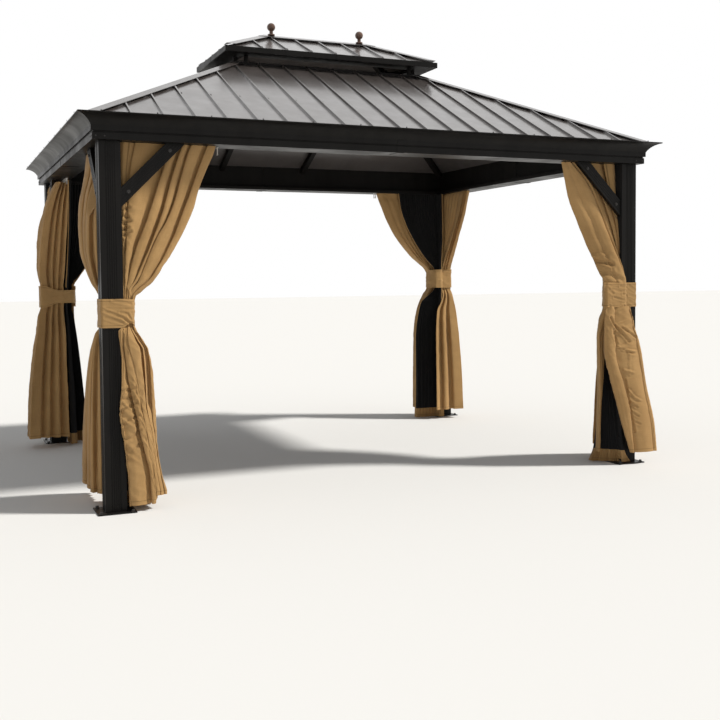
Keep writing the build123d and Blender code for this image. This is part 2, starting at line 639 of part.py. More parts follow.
def build():
    """All nodes, as name and list of solids."""
    nodes = {"netting": [], "tie_bands": [], "corner_braces": []}
    for name, (tie_drop, waist, long_top, long_hem, short_top, short_hem) in CORNERS.items():
        sx, sy = corner_signs(name)
        tie = CLEAR_HEIGHT - tie_drop
        nodes["post_" + name] = [post(sx, sy)]
        nodes["base_plate_" + name] = [base_plate(sx, sy)]
        nodes["curtains_" + name] = [curtain(sx, sy, tie, waist, long_top, long_hem, True),
                                     curtain(sx, sy, tie, SHORT_WAIST, short_top, short_hem, False)]
        if name == "front_right":
            nodes["curtains_" + name].append(apron(sx, sy, tie))
        nodes["netting"] += netting(sx, sy, tie)
        nodes["tie_bands"].append(tie_band(sx, sy, tie, waist))
        nodes["corner_braces"] += [brace(sx, sy, True), brace(sx, sy, False)]
    for side in SIDES:
        nodes["beam_" + side] = [beam(side)]
        nodes["cornice_" + side] = [cornice(side)]
        nodes["roof_lower_" + side] = [lower_sheet(side)]
        nodes["roof_upper_" + side] = [upper_sheet(side)]
    nodes["curtain_tracks"] = [track(side) for side in SIDES]
    nodes["beam_sleeves"] = [beam_sleeve(side) for side in SIDES]
    nodes["cornice_straps"] = [cornice_strap(side) for side in SIDES]
    nodes["hip_rafters"] = four_hips(hip_rafter())
    nodes["common_rafters"] = [common_rafter(side, place) for side, place in (
        ("front", -RAFTER_OFFSET), ("front", RAFTER_OFFSET), ("back", -RAFTER_OFFSET),
        ("back", RAFTER_OFFSET), ("left", 0), ("right", 0))]
    nodes["roof_ring"] = [ring_bar(side) for side in SIDES]
    nodes["vent_uprights"] = vent_uprights()
    nodes["soffit"] = [soffit(side) for side in SIDES]
    nodes["upper_fascia"] = [upper_fascia(side) for side in SIDES]
    nodes["upper_frame"] = four_hips(upper_rafter()) + [ridge_beam()]
    nodes["hip_caps_lower"] = four_hips(hip_cap(ROOF_FOOT, RING_OUT + SEAT, roof_z))
    upper_foot = UPPER_OUT - FASCIA_THICKNESS - SEAT
    nodes["hip_caps_upper"] = four_hips(hip_cap(upper_foot, CAP_WING + MITRE - POST_Y, upper_z))
    nodes["ridge_cap"] = [ridge_cap()]
    nodes["finials"] = [finial(-1), finial(1)]
    return nodes


def main():
    os.makedirs("parts", exist_ok=True)
    for name, shapes in build().items():
        solids = [solid for shape in shapes for solid in shape.solids()]
        whole = solids[0] if len(solids) == 1 else Compound(children=solids)
        export_step(whole, "parts/" + name + ".step")


main()
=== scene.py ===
import math

import bpy
import numpy as np
from mathutils import Matrix, Vector


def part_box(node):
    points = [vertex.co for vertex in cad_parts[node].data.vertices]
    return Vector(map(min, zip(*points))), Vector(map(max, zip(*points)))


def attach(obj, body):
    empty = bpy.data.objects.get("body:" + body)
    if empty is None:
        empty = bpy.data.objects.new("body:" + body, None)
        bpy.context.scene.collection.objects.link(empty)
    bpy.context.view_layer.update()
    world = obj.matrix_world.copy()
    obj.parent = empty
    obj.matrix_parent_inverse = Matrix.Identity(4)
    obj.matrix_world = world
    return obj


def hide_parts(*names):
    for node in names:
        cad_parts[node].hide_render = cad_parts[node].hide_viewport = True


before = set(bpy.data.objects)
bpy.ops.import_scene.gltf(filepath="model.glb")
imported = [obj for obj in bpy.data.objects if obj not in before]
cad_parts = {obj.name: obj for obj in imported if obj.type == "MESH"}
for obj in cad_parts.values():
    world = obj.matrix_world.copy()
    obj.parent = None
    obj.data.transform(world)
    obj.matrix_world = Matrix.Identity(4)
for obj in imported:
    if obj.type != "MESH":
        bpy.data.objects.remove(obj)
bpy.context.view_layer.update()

MM = 0.001

# Camera, in metres and degrees: to the right of +Y, above the horizon, and its roll
CAMERA_PLACE = (-2.7017, -7.1059, 1.3072)
CAMERA_ANGLES = (23.25, -2.68, -0.49)
CAMERA_LENS = 50.27
CAMERA_SHIFT = (-0.0023, -0.0484)

# Places read from the frame
POST_LOW, POST_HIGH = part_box("post_front_left")
POST_X = -POST_LOW.x                      # posts' outer faces
POST_Y = -POST_LOW.y
POST_WIDTH = POST_HIGH.x - POST_LOW.x
CLEAR_HEIGHT = POST_HIGH.z                # underside of the beams
BEAM_PROUD = -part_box("beam_front")[0].y - POST_Y
CORNICE_LOW, CORNICE_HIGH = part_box("cornice_front")
LIP_OUT = -CORNICE_LOW.y - POST_Y

# Corners, and the height of each tie band and of its middle above the floor
CORNERS = ("front_left", "front_right", "back_left", "back_right")
TIE_HEIGHT = {"front_left": 0.162, "front_right": 0.168, "back_left": 0.170, "back_right": 0.170}
TIE_MIDDLE = {"front_left": 1.122, "front_right": 1.177, "back_left": 1.180, "back_right": 1.297}


def corner_signs(corner):
    return (-1 if "left" in corner else 1), (-1 if "front" in corner else 1)


def together(*parts):
    """Arrays or numbers as the last axis of one array."""
    return np.stack(np.broadcast_arrays(*parts), axis=-1)


def to_world(corner, along_x, along, out, height):
    """World places from the distance along a side from the post's inner face, outward, and up."""
    sx, sy = corner_signs(corner)
    if along_x:
        return together(sx * (POST_X - POST_WIDTH - along), sy * (POST_Y + out), height)
    return together(sx * (POST_X + out), sy * (POST_Y - POST_WIDTH - along), height)


def add_object(name, data):
    made = bpy.data.objects.new(name, data)
    bpy.context.scene.collection.objects.link(made)
    return made


# Materials

def make_material(name):
    material = bpy.data.materials.new(name)
    material.use_nodes = True
    return material, material.node_tree, material.node_tree.nodes["Principled BSDF"]


def is_socket(value):
    return isinstance(value, bpy.types.NodeSocket)


def fill(tree, node, inputs):
    """Sets a node's inputs; a value that is a socket is linked."""
    for key, value in inputs.items():
        if is_socket(value):
            tree.links.new(value, node.inputs[key])
        else:
            node.inputs[key].default_value = value


def add_node(tree, kind, inputs=None, **settings):
    made = tree.nodes.new(kind)
    for key, value in settings.items():
        setattr(made, key, value)
    fill(tree, made, inputs or {})
    return made


def object_place(tree):
    return add_node(tree, "ShaderNodeTexCoord").outputs["Object"]


def mapped(tree, place, scale, turn=0.0):
    """Coordinates scaled along the axes and turned about Z."""
    inputs = {"Vector": place, "Rotation": (0, 0, turn), "Scale": scale}
    return add_node(tree, "ShaderNodeMapping", inputs).outputs[0]


def calculated(tree, operation, *values):
    return add_node(tree, "ShaderNodeMath", dict(enumerate(values)), operation=operation).outputs[0]


def noise(tree, place, scale, detail=3.0, rough=0.5, distortion=0.0, kind="FBM"):
    inputs = {"Vector": place, "Scale": scale, "Detail": detail, "Roughness": rough,
              "Distortion": distortion}
    return add_node(tree, "ShaderNodeTexNoise", inputs, noise_type=kind).outputs["Fac"]


def spread(tree, value, low=0.0, high=1.0, from_low=0.3, from_high=0.7):
    """A noise value mapped to a range."""
    inputs = {"Value": value, "From Min": from_low, "From Max": from_high, "To Min": low, "To Max": high}
    return add_node(tree, "ShaderNodeMapRange", inputs).outputs["Result"]


def blend_colours(tree, share, first, second):
    made = add_node(tree, "ShaderNodeMix", {"Factor": share}, data_type="RGBA")
    keys = [key for key, socket in enumerate(made.inputs) if socket.type == "RGBA"]
    for key, value in zip(keys, (first, second)):
        fill(tree, made, {key: value if is_socket(value) else (*value, 1.0)})
    return next(s for s in made.outputs if s.type == "RGBA")


def shaded(colour, share):
    return tuple(share * c for c in colour)


def bump(tree, height, strength, distance, under=None):
    inputs = {"Height": height, "Strength": strength, "Distance": distance}
    if under is not None:
        inputs["Normal"] = under
    return add_node(tree, "ShaderNodeBump", inputs).outputs["Normal"]


STREAKS = (1, 1, 0.12)     # stretch of the dust down the frame


def coated_metal(name, dark, light, roughness, specular):
    """Powder coat: fine orange peel, faint streaks of dust and uneven gloss."""
    material, tree, shader = make_material(name)
    place = object_place(tree)
    streaked = mapped(tree, place, STREAKS)
    dusty = blend_colours(tree, spread(tree, noise(tree, streaked, 14.0, 5.0, 0.6)), dark, light)
    grain = blend_colours(tree, spread(tree, noise(tree, place, 420.0, 2.0)), shaded(dark, 0.9), light)
    peel = bump(tree, noise(tree, place, 900.0, 2.0), 0.22, 0.0004)
    fill(tree, shader, {
        "Base Color": blend_colours(tree, 0.3, dusty, grain),
        "Roughness": spread(tree, noise(tree, streaked, 6.0, 4.0), roughness - 0.07, roughness + 0.09),
        "Specular IOR Level": specular,
        "Normal": bump(tree, noise(tree, place, 9.0, 2.0), 0.12, 0.004, peel)})
    return material


def roof_coat(name, dark, light, dust):
    """Semi-gloss coated sheet: slow waves in the metal, water marks and dust."""
    material, tree, shader = make_material(name)
    place = object_place(tree)
    marked = blend_colours(tree, spread(tree, noise(tree, place, 5.0, 6.0, 0.62)), dark, light)
    dusty = blend_colours(tree, spread(tree, noise(tree, place, 160.0, 3.0, 0.6)), marked, dust)
    waves = bump(tree, noise(tree, place, 3.2, 2.0), 0.35, 0.010)
    fill(tree, shader, {
        "Base Color": blend_colours(tree, 0.35, marked, dusty),
        "Roughness": spread(tree, noise(tree, place, 8.0, 5.0), 0.30, 0.46),
        "Specular IOR Level": 1.0,
        "Coat Weight": 1.0,
        "Coat Roughness": 0.16,
        "Normal": bump(tree, noise(tree, place, 700.0, 2.0), 0.15, 0.0004, waves)})
    return material


THREAD = 0.0011            # spacing of the threads of the curtain cloth, and of the netting
NET_THREAD = 0.0024
SLUBS = ((260.0, 9.0, 0.0), (9.0, 260.0, 0.0))   # thick places in the threads each way, to a metre
WRINKLES = 19.0            # small wrinkles to a metre
STITCH_IN = 0.022          # hem's stitching from the cloth's edge
STITCH_WIDTH = 0.0012
GLOW = 0.22                # share of the light that comes through the curtains


def cloth_places(tree):
    """The place on the flat cloth, its two distances, and that from the nearest hem, in metres."""
    flat = add_node(tree, "ShaderNodeAttribute", attribute_name="cloth").outputs["Vector"]
    parts = add_node(tree, "ShaderNodeSeparateXYZ", {"Vector": flat}).outputs
    return flat, parts["X"], parts["Y"], parts["Z"]


def weave(tree, across, down, pitch, operation):
    """Waves of the threads each way, put together by a math operation."""
    waves = [calculated(tree, "SINE", calculated(tree, "MULTIPLY", place, 2 * math.pi / pitch))
             for place in (across, down)]
    return calculated(tree, operation, *waves)


def woven_cloth(name, dark, light):
    """Plain weave with slubs, a stitched hem, soft wear and light that glows through."""
    material, tree, shader = make_material(name)
    flat, across, down, edge = cloth_places(tree)
    slubs = calculated(tree, "ADD", *(noise(tree, mapped(tree, flat, scale), 1.0, 2.0) for scale in SLUBS))
    colour = blend_colours(tree, spread(tree, slubs, 0.0, 1.0, 0.75, 1.25), dark, light)
    patches = spread(tree, noise(tree, mapped(tree, flat, (1.0, 0.6, 0.0)), 4.0, 4.0, 0.6))
    faded = blend_colours(tree, patches, shaded(dark, 0.88), shaded(light, 1.08))
    from_stitch = calculated(tree, "ABSOLUTE", calculated(tree, "SUBTRACT", edge, STITCH_IN))
    stitch = spread(tree, from_stitch, 1.0, 0.0, STITCH_WIDTH * 0.5, STITCH_WIDTH * 1.6)
    stitched = blend_colours(tree, stitch, blend_colours(tree, 0.7, colour, faded), shaded(dark, 0.55))
    leaning = mapped(tree, flat, (0.7, 1.3, 0.0), 0.5)
    ridged = noise(tree, leaning, WRINKLES, 1.5, 0.4, 0.5, "RIDGED_MULTIFRACTAL")
    worn = spread(tree, noise(tree, flat, 4.0, 1.0), 0.05, 1.0, 0.38, 0.62)
    ground = bump(tree, calculated(tree, "MULTIPLY", ridged, worn), 0.45, 0.006)
    threads = bump(tree, weave(tree, across, down, THREAD, "MULTIPLY"), 0.30, 0.00018, ground)
    fill(tree, shader, {
        "Base Color": stitched,
        "Roughness": 0.78,
        "Specular IOR Level": 0.25,
        "Sheen Weight": 0.12,
        "Sheen Roughness": 0.45,
        "Normal": bump(tree, stitch, -0.8, 0.001, threads)})
    glow = add_node(tree, "ShaderNodeBsdfTranslucent", {"Color": stitched, "Normal": threads}).outputs[0]
    mix = add_node(tree, "ShaderNodeMixShader", {0: GLOW, 1: shader.outputs[0], 2: glow})
    tree.links.new(mix.outputs[0], tree.nodes["Material Output"].inputs["Surface"])
    return material


def net_cloth(name, dark, light, layered):
    """Fine netting, bunched in several layers."""
    material, tree, shader = make_material(name)
    flat, across, down, _ = cloth_places(tree)
    threads = spread(tree, weave(tree, across, down, NET_THREAD, "MAXIMUM"), 0.0, 1.0, 0.0, 0.9)
    layers = spread(tree, noise(tree, flat, 9.0, 3.0))
    fill(tree, shader, {
        "Base Color": blend_colours(tree, layers, blend_colours(tree, threads, dark, light), layered),
        "Roughness": 0.85,
        "Specular IOR Level": 0.15,
        "Normal": bump(tree, threads, 0.3, 0.0004)})
    return material


def marked_surface(name, colour, roughness, metallic):
    """Screws and small plastic parts."""
    material, tree, shader = make_material(name)
    place = object_place(tree)
    marks = spread(tree, noise(tree, place, 300.0, 3.0))
    fill(tree, shader, {
        "Base Color": blend_colours(tree, marks, shaded(colour, 0.8), colour),
        "Roughness": spread(tree, noise(tree, place, 150.0, 2.0), roughness - 0.08, roughness + 0.1),
        "Metallic": metallic})
    return material


MATERIALS = {
    "frame_aluminium": coated_metal(
        "frame_coat", (0.0042, 0.0038, 0.0034), (0.0100, 0.0090, 0.0080), 0.40, 0.13),
    "inner_frame": coated_metal(
        "inner_coat", (0.0040, 0.0035, 0.0031), (0.0085, 0.0074, 0.0066), 0.50, 0.10),
    "plate_steel": coated_metal(
        "plate_coat", (0.0050, 0.0047, 0.0044), (0.0110, 0.0102, 0.0096), 0.40, 0.20),
    "finial_metal": coated_metal(
        "finial_coat", (0.095, 0.052, 0.036), (0.155, 0.090, 0.064), 0.34, 0.40),
    "roof_steel": roof_coat(
        "roof_coat", (0.042, 0.035, 0.032), (0.070, 0.060, 0.056), (0.085, 0.075, 0.070)),
    "curtain_fabric": woven_cloth("curtain_cloth", (0.43, 0.256, 0.102), (0.54, 0.336, 0.145)),
    "net_fabric": net_cloth(
        "net_cloth", (0.0045, 0.0045, 0.0048), (0.024, 0.023, 0.023), (0.012, 0.012, 0.0125)),
    "hook_plastic": marked_surface("hook_plastic", (0.62, 0.60, 0.56), 0.45, 0.0),
    "dark_screws": marked_surface("dark_screws", (0.030, 0.027, 0.025), 0.38, 0.3),
}


# Finish of the carried-over pieces

SOFT_NODES = tuple("curtains_" + corner for corner in CORNERS) + ("netting", "tie_bands")
EDGE_ROUND = {"post": 0.0014, "roof": 0.0008, "hip_caps": 0.0008, "ridge": 0.0008, "corner_braces": 0.0009}
EDGE_USUAL = 0.001
EDGE_LEAST_TURN = 35       # degrees between two faces


def dress_frame():
    """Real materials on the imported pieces, with slightly rounded edges that catch the light."""
    for name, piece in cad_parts.items():
        if name in SOFT_NODES:
            continue
        for slot in piece.material_slots:
            slot.material = MATERIALS[slot.material.name.split(".")[0]]
        joined = piece.modifiers.new("join", "WELD")
        joined.merge_threshold = 0.00002
        if name == "finials":
            continue
        rounded = piece.modifiers.new("round", "BEVEL")
        rounded.width = next((w for start, w in EDGE_ROUND.items() if name.startswith(start)), EDGE_USUAL)
        rounded.segments = 2
        rounded.limit_method = "ANGLE"
        rounded.angle_limit = math.radians(EDGE_LEAST_TURN)
        rounded.use_clamp_overlap = True
        even = piece.modifiers.new("even", "WEIGHTED_NORMAL")
        even.keep_sharp = True
        even.weight = 100


# Mesh helpers

def make_mesh(name, shape, coats, smooth=True, kinds=None):
    """Piece from points and faces, riding on the frame; kinds tells each face's material."""
    points, faces = shape
    mesh = bpy.data.meshes.new(name)
    mesh.from_pydata([tuple(p) for p in points], [], [tuple(f) for f in faces])
    for coat in coats:
        mesh.materials.append(MATERIALS[coat])
    if kinds is not None:
        mesh.polygons.foreach_set("material_index", np.asarray(kinds, np.int32))
    mesh.polygons.foreach_set("use_smooth", [smooth] * len(mesh.polygons))
    mesh.update()
    piece = add_object(name, mesh)
    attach(piece, "root")
    return piece


def stacked_faces(rings, segments):
    """Faces of a closed shape whose points are rings, from its base up."""
    faces = [(low + i, low + (i + 1) % segments, low + segments + (i + 1) % segments, low + segments + i)
             for low in range(0, (rings - 1) * segments, segments) for i in range(segments)]
    top = (rings - 1) * segments
    return faces + [tuple(range(segments - 1, -1, -1)), tuple(range(top, top + segments))]


def turned(profile, segments):
    """Turned shape about Z from (radius, height) pairs, closed at both ends."""
    angles = np.arange(segments) * 2 * math.pi / segments
    rings = [together(r * np.cos(angles), r * np.sin(angles), z) for r, z in profile]
    return np.concatenate(rings), stacked_faces(len(profile), segments)


CUT = 0.0008               # cut edges of small blocks


def block(low, high):
    """Six-sided block with slightly cut edges."""
    (x0, y0, z0), (x1, y1, z1) = low, high
    plan = [(x0 + CUT, y0), (x1 - CUT, y0), (x1, y0 + CUT), (x1, y1 - CUT), (x1 - CUT, y1), (x0 + CUT, y1),
            (x0, y1 - CUT), (x0, y0 + CUT)]
    mx, my = (x0 + x1) / 2, (y0 + y1) / 2
    points = [(x - shrink * np.sign(x - mx), y - shrink * np.sign(y - my), z)
              for z, shrink in ((z0, CUT), (z0 + CUT, 0), (z1 - CUT, 0), (z1, CUT)) for x, y in plan]
    return np.array(points), stacked_faces(4, len(plan))


def mirrored(shape, sx, sy=1):
    """A shape mirrored by the signs, its faces still outward."""
    points, faces = shape
    return np.array(points) * (sx, sy, 1.0), faces if sx * sy > 0 else [tuple(reversed(f)) for f in faces]


def combined(*shapes):
    points, faces, start = [], [], 0
    for shape_points, shape_faces in shapes:
        points.append(shape_points)
        faces += [tuple(start + i for i in face) for face in shape_faces]
        start += len(shape_points)
    return np.concatenate(points), faces


def scatter(name, shape, places, coat="dark_screws", smooth=False):
    """One mesh of a small shape repeated at many places, each a 4 x 4 matrix."""
    points, faces = shape
    copies = [(points @ np.array(m.to_3x3()).T + np.array(m.translation), faces) for m in places]
    make_mesh(name, combined(*copies), (coat,), smooth)


def hex_head(across, height, washer, washer_height):
    """Hexagon head on a round washer, its base at z 0."""
    radius = across / math.sqrt(3)
    under = turned([(washer, 0.0), (washer, washer_height * 0.6), (washer * 0.9, washer_height)], 16)
    head = turned([(radius, washer_height), (radius, washer_height + height * 0.8),
                   (radius * 0.84, washer_height + height)], 6)
    return combined(under, head)


def dome_head(radius, height):
    """Round screw head with a shallow recess."""
    return turned([(radius, 0.0), (radius * 0.98, height * 0.35), (radius * 0.8, height * 0.8),
                   (radius * 0.45, height), (radius * 0.3, height * 0.7)], 12)


def facing(place, outward, turn=0.0):
    """Matrix that stands a shape on a face, its Z along the face's outward direction."""
    direction = Vector(outward).normalized()
    return Matrix.Translation(Vector(place)) @ direction.to_track_quat("Z", "Y").to_matrix().to_4x4() \
        @ Matrix.Rotation(turn, 4, "Z")


# Sides of the gazebo as (half the length, reach of the posts' faces, turn about Z)
SIDES = {
    "front": (POST_X, POST_Y, 0),
    "right": (POST_Y, POST_X, 90),
    "back": (POST_X, POST_Y, 180),
    "left": (POST_Y, POST_X, 270),
}


def on_side(side, along, out, height):
    """World place on a side, from its middle along it, outward from the posts' faces, and up."""
    _, reach, turn = SIDES[side]
    return Matrix.Rotation(math.radians(turn), 3, "Z") @ Vector((along, -(reach + out), height))


def side_direction(side, out, up):
    return Matrix.Rotation(math.radians(SIDES[side][2]), 3, "Z") @ Vector((0, -out, up))


# Screws of the roof, beside its ribs
RIB_SPACING = 0.1835
SHEET = 0.003              # thickness of the roof's sheets in the solids
SCREW_ASIDE = 0.014        # from a rib's middle
SCREW_UP_SLOPE = (0.028, 0.46, 0.86)
SCREW_JITTER = 0.004
SCREW_ROOM = 0.03          # least distance from a screw to the end of its rib
CAP_ROOM = 0.046 * math.sqrt(2)
# Nodes, pitch, how far under the ridge the ribs end, and their screws
TIERS = (("roof_lower_front", 0.5, 0.30, SCREW_UP_SLOPE),
         ("roof_upper_front", 0.44, 0.0, SCREW_UP_SLOPE[:1]))


def roof_screws():
    rng = np.random.default_rng(11)
    places = []
    for node, pitch, under_ridge, steps in TIERS:
        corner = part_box(node)[0]
        foot = -corner.y - POST_Y
        foot_z = corner.z + SHEET * math.sqrt(1 + pitch ** 2)
        for side, (half, _, _) in SIDES.items():
            each_side = int((half + foot - CAP_ROOM - 0.008) / RIB_SPACING)
            for index in range(-each_side, each_side + 1):
                middle = index * RIB_SPACING
                room = min(POST_Y + foot - under_ridge, half + foot - abs(middle) - CAP_ROOM)
                for step in steps:
                    up = step + rng.uniform(-SCREW_JITTER, SCREW_JITTER)
                    if up > room - SCREW_ROOM:
                        continue
                    place = on_side(side, middle + SCREW_ASIDE, foot - up, foot_z + pitch * up)
                    normal = side_direction(side, pitch, 1)
                    places.append(facing(place, normal, rng.uniform(0, math.pi)))
    scatter("roof_screws", hex_head(0.0085, 0.005, 0.0075, 0.002), places)


LIP_SCREW_SPACING = 0.31
LIP_SCREW_DOWN = 0.0065    # from the top of the cornice


def cornice_screws():
    """Small round heads along the lip of the cornice."""
    places = []
    height = CORNICE_HIGH.z - LIP_SCREW_DOWN
    for side, (half, _, _) in SIDES.items():
        count = round(2 * half / LIP_SCREW_SPACING)
        for index in range(count + 1):
            place = on_side(side, -half + 2 * half * index / count, LIP_OUT, height)
            places.append(facing(place, side_direction(side, 1, 0)))
    scatter("cornice_screws", dome_head(0.0042, 0.0022), places, smooth=True)


ANCHOR_SPACING = 0.172


def anchor_bolts():
    """Bolts that hold the base plates down."""
    places = []
    for corner in CORNERS:
        low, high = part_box("base_plate_" + corner)
        middle = (low + high) / 2
        for dx, dy in ((-0.5, -0.5), (-0.5, 0.5), (0.5, -0.5), (0.5, 0.5)):
            place = (middle.x + dx * ANCHOR_SPACING, middle.y + dy * ANCHOR_SPACING, high.z)
            places.append(Matrix.Translation(place) @ Matrix.Rotation(0.4 + dx + 2 * dy, 4, "Z"))
    scatter("anchor_bolts", hex_head(0.017, 0.011, 0.015, 0.0025), places)


COVER_LENGTH = 0.085       # corner covers on the beams' band
COVER_BAND = (0.0008, 0.0375)
COVER_THICKNESS = 0.0016
COVER_SCREWS = (0.018, 0.066)
JOINT_WIDTH = 0.032        # cover over the joint of each short upper fascia
JOINT_INSET = 0.001


def corner_covers():
    """Thin angle plates over the mitred corners of the beams, each with two screws a side."""
    low, high = (CLEAR_HEIGHT + edge for edge in COVER_BAND)
    x, y, middle, t = POST_X + BEAM_PROUD, POST_Y + BEAM_PROUD, (low + high) / 2, COVER_THICKNESS
    wings = (block((x - COVER_LENGTH, y, low), (x + t, y + t, high)),
             block((x, y - COVER_LENGTH, low), (x + t, y - 0.0002, high)))
    shapes, screws = [], []
    for corner in CORNERS:
        sx, sy = corner_signs(corner)
        shapes += [mirrored(wing, sx, sy) for wing in wings]
        for inset in COVER_SCREWS:
            screws.append(facing((sx * (x - inset), sy * (y + t), middle), (0, sy, 0)))
            screws.append(facing((sx * (x + t), sy * (y - inset), middle), (sx, 0, 0)))
    fascia_low, fascia_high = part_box("upper_fascia")
    joint = block((fascia_high.x, -JOINT_WIDTH / 2, fascia_low.z + JOINT_INSET),
                  (fascia_high.x + t, JOINT_WIDTH / 2, fascia_high.z - JOINT_INSET))
    shapes += [mirrored(joint, sx) for sx in (-1, 1)]
    make_mesh("corner_covers", combined(*shapes), ("frame_aluminium",), False)
    scatter("corner_cover_screws", dome_head(0.0048, 0.0026), screws, smooth=True)


HOOD_START = 0.002         # bent cover over each end of the ridge, from the end of the ridge's cap
HOOD_ABOVE = 0.0025        # and above it
HOOD_FLAT = 0.042          # how far it runs on level before it bends down
HOOD_LENGTH = 0.102
HOOD_HALF = 0.050
HOOD_SLOPE = 0.435
HOOD_THICKNESS = 0.0016


def ridge_hoods():
    """A small bent plate over each place where the ridge's cap and two hip caps meet."""
    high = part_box("ridge_cap")[1]
    start, top = high.x + HOOD_START, high.z + HOOD_ABOVE
    fold, end = start + HOOD_FLAT, start + HOOD_LENGTH
    corner = fold + HOOD_HALF
    plan = [(start, 0), (fold, 0)] + [(x, -HOOD_HALF) for x in (start, corner, end)] \
        + [(x, HOOD_HALF) for x in (end, corner, start)]
    upper = [(x, y, top - HOOD_SLOPE * max(abs(y), x - fold)) for x, y in plan]
    lower = [(x, y, z - HOOD_THICKNESS) for x, y, z in upper]
    tops = [(0, 2, 3, 1), (1, 3, 4, 5, 6), (0, 1, 6, 7)]
    rim = [0, 2, 3, 4, 5, 6, 7]
    faces = tops + [tuple(8 + i for i in reversed(face)) for face in tops]
    faces += [(a, 8 + a, 8 + b, b) for a, b in zip(rim, rim[1:] + rim[:1])]
    for sx, side in ((1, "right"), (-1, "left")):
        shape = mirrored((upper + lower, faces), sx)
        make_mesh("ridge_hood_" + side, shape, ("roof_steel",), False)


BRACE_REACH = 0.366
BRACE_WIDTH = 0.076
BRACE_INSET = 0.008
BRACE_THICKNESS = 0.034
BRACE_BOLTS = (0.12, 0.88)  # shares of the brace's length
BRACE_BOLT_ASIDE = 0.004


def brace_bolts():
    """Bolts through the ends of the corner braces, on their outer and inner faces."""
    places = []
    middle = BRACE_REACH - BRACE_WIDTH / math.sqrt(2)
    for corner in CORNERS:
        for along_x in (True, False):
            for share in BRACE_BOLTS:
                along = middle * share + BRACE_BOLT_ASIDE
                height = CLEAR_HEIGHT - middle * (1 - share) - BRACE_BOLT_ASIDE
                for out, sign in ((-BRACE_INSET, 1), (-BRACE_INSET - BRACE_THICKNESS, -1)):
                    place = to_world(corner, along_x, along, out, height)
                    ahead = to_world(corner, along_x, along, out + sign, height) - place
                    places.append(facing(place, ahead, 0.3))
    scatter("brace_bolts", hex_head(0.013, 0.006, 0.011, 0.002), places)


# Visible curtain hooks: corner, along a long side or not, and their places from the post's inner face
HOOKS = (("back_left", False, np.linspace(0.05, 0.53, 8)), ("front_left", True, (0.578,)),
         ("back_right", True, (0.640, 0.655)))
HOOK_OUT = -0.098
HOOK_DROP = 0.046


def curtain_hooks():
    """Small white hooks on the tracks, where the cloth hangs lower or has slid away."""
    shank = block((-0.0026, -0.0035, -HOOK_DROP), (0.0026, 0.0035, 0.0))
    foot = block((-0.0024, -0.0110, -HOOK_DROP), (0.0024, 0.0110, -HOOK_DROP + 0.005))
    runner = block((-0.0050, -0.0090, -0.0050), (0.0050, 0.0090, 0.0))
    places = []
    for corner, along_x, spots in HOOKS:
        turn = Matrix.Rotation(0 if along_x else math.pi / 2, 4, "Z")
        for along in spots:
            place = to_world(corner, along_x, along, HOOK_OUT, CLEAR_HEIGHT)
            places.append(Matrix.Translation(place) @ turn)
    scatter("curtain_hooks", combined(shank, foot, runner), places, "hook_plastic")


# Cloth

def monotone(knots, values, at):
    """Smooth curves through knots that never overshoot, one for each column of values."""
    knots = np.asarray(knots, float)
    values = np.asarray(values, float).reshape(len(knots), -1)
    step = np.diff(knots)[:, None]
    rise = np.diff(values, axis=0) / step
    slope = np.zeros_like(values)
    slope[0], slope[-1] = rise[0], rise[-1]
    before, after = rise[:-1], rise[1:]
    same = before * after > 0
    w1, w2 = 2 * step[1:] + step[:-1], step[1:] + 2 * step[:-1]
    with np.errstate(divide="ignore", invalid="ignore"):
        inner = (w1 + w2) / (w1 / before + w2 / after)
    slope[1:-1] = np.where(same, inner, 0.0)
    span = np.clip(np.searchsorted(knots, at, side="right") - 1, 0, len(knots) - 2)
    h = step[span]
    t = ((np.asarray(at) - knots[span]) / step[span, 0])[:, None]
    return ((1 + 2 * t) * (1 - t) ** 2 * values[span] + t * (1 - t) ** 2 * h * slope[span]
            + t * t * (3 - 2 * t) * values[span + 1] + t * t * (t - 1) * h * slope[span + 1])


def rough_field(rng, rows, columns, coarse_rows, coarse_columns):
    """Smooth random field between -1 and 1, with about so many bumps each way."""
    grid = rng.uniform(-1, 1, (coarse_rows + 3, coarse_columns + 3))

    def weights(count, coarse):
        place = np.linspace(0, coarse, count) + 1
        cell = np.minimum(place.astype(int), coarse)
        t = place - cell
        table = np.zeros((count, coarse + 3))
        cubic = ((1 - t) ** 3 / 6, (3 * t ** 3 - 6 * t ** 2 + 4) / 6,
                 (-3 * t ** 3 + 3 * t ** 2 + 3 * t + 1) / 6, t ** 3 / 6)
        for offset, weight in zip((-1, 0, 1, 2), cubic):
            table[np.arange(count), np.minimum(cell + offset, coarse + 2)] += weight
        return table

    return 1.7 * weights(rows, coarse_rows) @ grid @ weights(columns, coarse_columns).T


CLOTH_GAP = 0.003          # cloth stays this far off a post, and off a brace
BRACE_GAP = 0.004
BRACE_SHADE = 0.25         # how far under the braces the cloth still hangs behind them


def held_clear(along, out, height, behind_brace):
    """Keeps cloth outside the post, and behind the brace where it hangs inside."""
    inside = (along < CLOTH_GAP) & (out < CLOTH_GAP)
    sideways = CLOTH_GAP - along <= CLOTH_GAP - out
    along = np.where(inside & sideways, CLOTH_GAP, along)
    out = np.where(inside & ~sideways, CLOTH_GAP, out)
    if behind_brace:
        diagonal = along + (CLEAR_HEIGHT - height)
        low, high = BRACE_REACH - BRACE_WIDTH * math.sqrt(2), BRACE_REACH
        apart = np.maximum(np.maximum(low - diagonal, diagonal - high), 0) / math.sqrt(2)
        limit = -BRACE_INSET - BRACE_THICKNESS - BRACE_GAP + 1.1 * np.maximum(apart - 0.008, 0)
        out = np.minimum(out, np.where(height > CLEAR_HEIGHT - BRACE_REACH - BRACE_SHADE, limit, 1.0))
    return along, out


